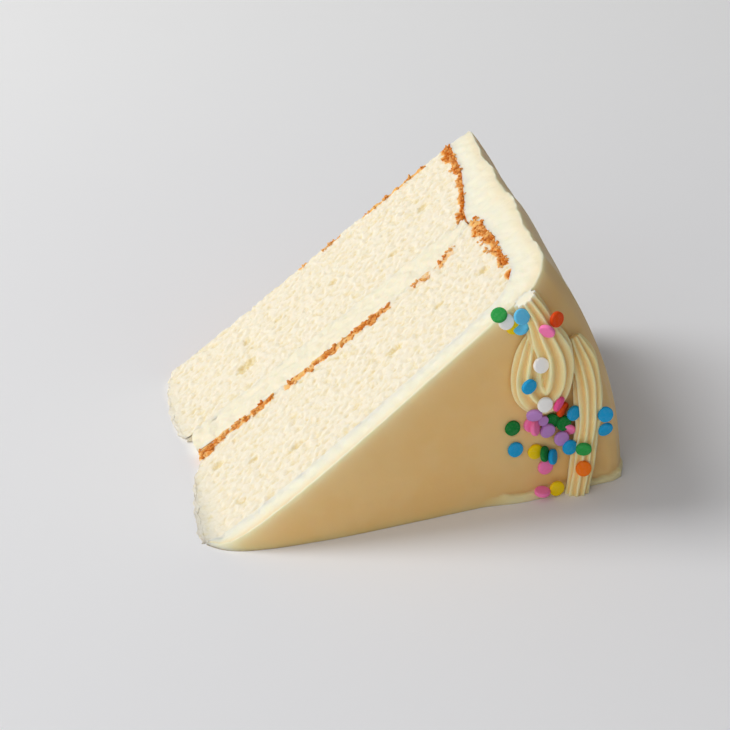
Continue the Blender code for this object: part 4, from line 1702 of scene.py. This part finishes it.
@dataclass(frozen=True)
class Studio:
    """A plain floor, a large soft key light from the upper left, and the camera."""

    lens: float = 98.63
    camera_across: float = -75.948
    camera_depth: float = -445.022
    camera_height: float = 299.544
    yaw: float = 0.257968
    pitch: float = 0.503326
    key_from: tuple[float, float, float] = (-0.62, 0.32, 0.72)
    key_distance: float = 1.7
    key_size: float = 0.85
    key_watts: float = 15.1
    fill_place: tuple[float, float, float] = (-0.8, -0.9, 0.5)
    fill_size: float = 1.2
    fill_watts: float = 3.3
    world_left: float = 0.62
    world_right: float = 0.05

    def build(self) -> None:
        """Add the floor, the lights, the world and the camera."""
        self.add_floor()
        key_place = Vector(self.key_from).normalized() * self.key_distance
        self.add_softbox("key_softbox", key_place, self.key_size, self.key_watts)
        self.add_softbox("fill_softbox", Vector(self.fill_place), self.fill_size, self.fill_watts)
        self.add_world()
        self.add_camera()
        bpy.context.scene.view_settings.view_transform = "Standard"

    def add_floor(self) -> None:
        """Add the pale floor that the slice lies on."""
        deselect_everything()
        bpy.ops.mesh.primitive_plane_add(size=8.0)
        floor = bpy.context.object
        floor.name = "studio_floor"
        floor.data.materials.append(StudioPaper().build())

    def add_softbox(self, name: str, place: Vector, size: float, watts: float) -> None:
        """Add a round soft box that points at the slice.

        Args:
            name: The light's name.
            place: Where it stands, in metres.
            size: How wide it is, in metres.
            watts: How strong it is.
        """
        deselect_everything()
        bpy.ops.object.light_add(type="AREA", location=place)
        light = bpy.context.object
        light.name = name
        light.data.shape = "DISK"
        light.data.size = size
        light.data.energy = watts
        light.rotation_euler = place.to_track_quat("Z", "Y").to_euler()

    def add_world(self) -> None:
        """Fill the shadows from all round, more from the left than from the right."""
        world = bpy.data.worlds.new("studio_fill")
        world.use_nodes = True
        tree = world.node_tree
        background = tree.nodes["Background"]
        background.inputs["Color"].default_value = linear_colour("F8F8F8")
        way = add_node(tree, "ShaderNodeTexCoord").outputs["Generated"]
        across = add_node(tree, "ShaderNodeSeparateXYZ", {}, {0: way}).outputs["X"]
        reach = {"From Min": -1.0, "From Max": 1.0, "To Min": self.world_left, "To Max": self.world_right}
        strength = add_node(tree, "ShaderNodeMapRange", reach, {"Value": across}).outputs["Result"]
        tree.links.new(strength, background.inputs["Strength"])
        bpy.context.scene.world = world

    def add_camera(self) -> None:
        """Add the camera at the photograph's distance and angle."""
        place = Vector((self.camera_across, self.camera_depth, self.camera_height)) * MM + FORM.corner()
        bpy.ops.object.camera_add(
            location=place, rotation=(0.5 * math.pi - self.pitch, 0.0, -self.yaw)
        )
        camera = bpy.context.object
        camera.name = "front_camera"
        camera.data.lens = self.lens
        camera.data.sensor_width = 36.0
        camera.data.clip_start = 0.01
        camera.data.clip_end = 20.0
        bpy.context.scene.camera = camera


def main() -> None:
    """Build the studio and the slice."""
    logging.basicConfig(level=logging.INFO, format="%(name)s: %(message)s")
    Studio().build()
    sponge = SpongeCrumb().build()
    cream = Buttercream().build()
    # The piped cream is painted paler than the coat's skin, partly a painted highlight on its crests, with
    # painted shade between its ridges.
    piped = Buttercream(name="piped_buttercream", skin="FFEFBE", groove_shade="F6D48E", scatter_mm=1.6).build()
    inner = Buttercream(name="filling_buttercream", cut="F6ECD2", scatter_mm=1.2, bump_mm=0.08).build()
    layers = [BottomLayer(), TopLayer()]
    supports = [layer.build(sponge) for layer in layers]
    filling = Filling().build(inner)
    coat = FrostingCoat().build(cream)
    Crumbs().build(layers, supports + [filling, coat])
    border = PipedBorder().build(piped)
    Confetti().build([coat, border])


if __name__ == "__main__":
    main()
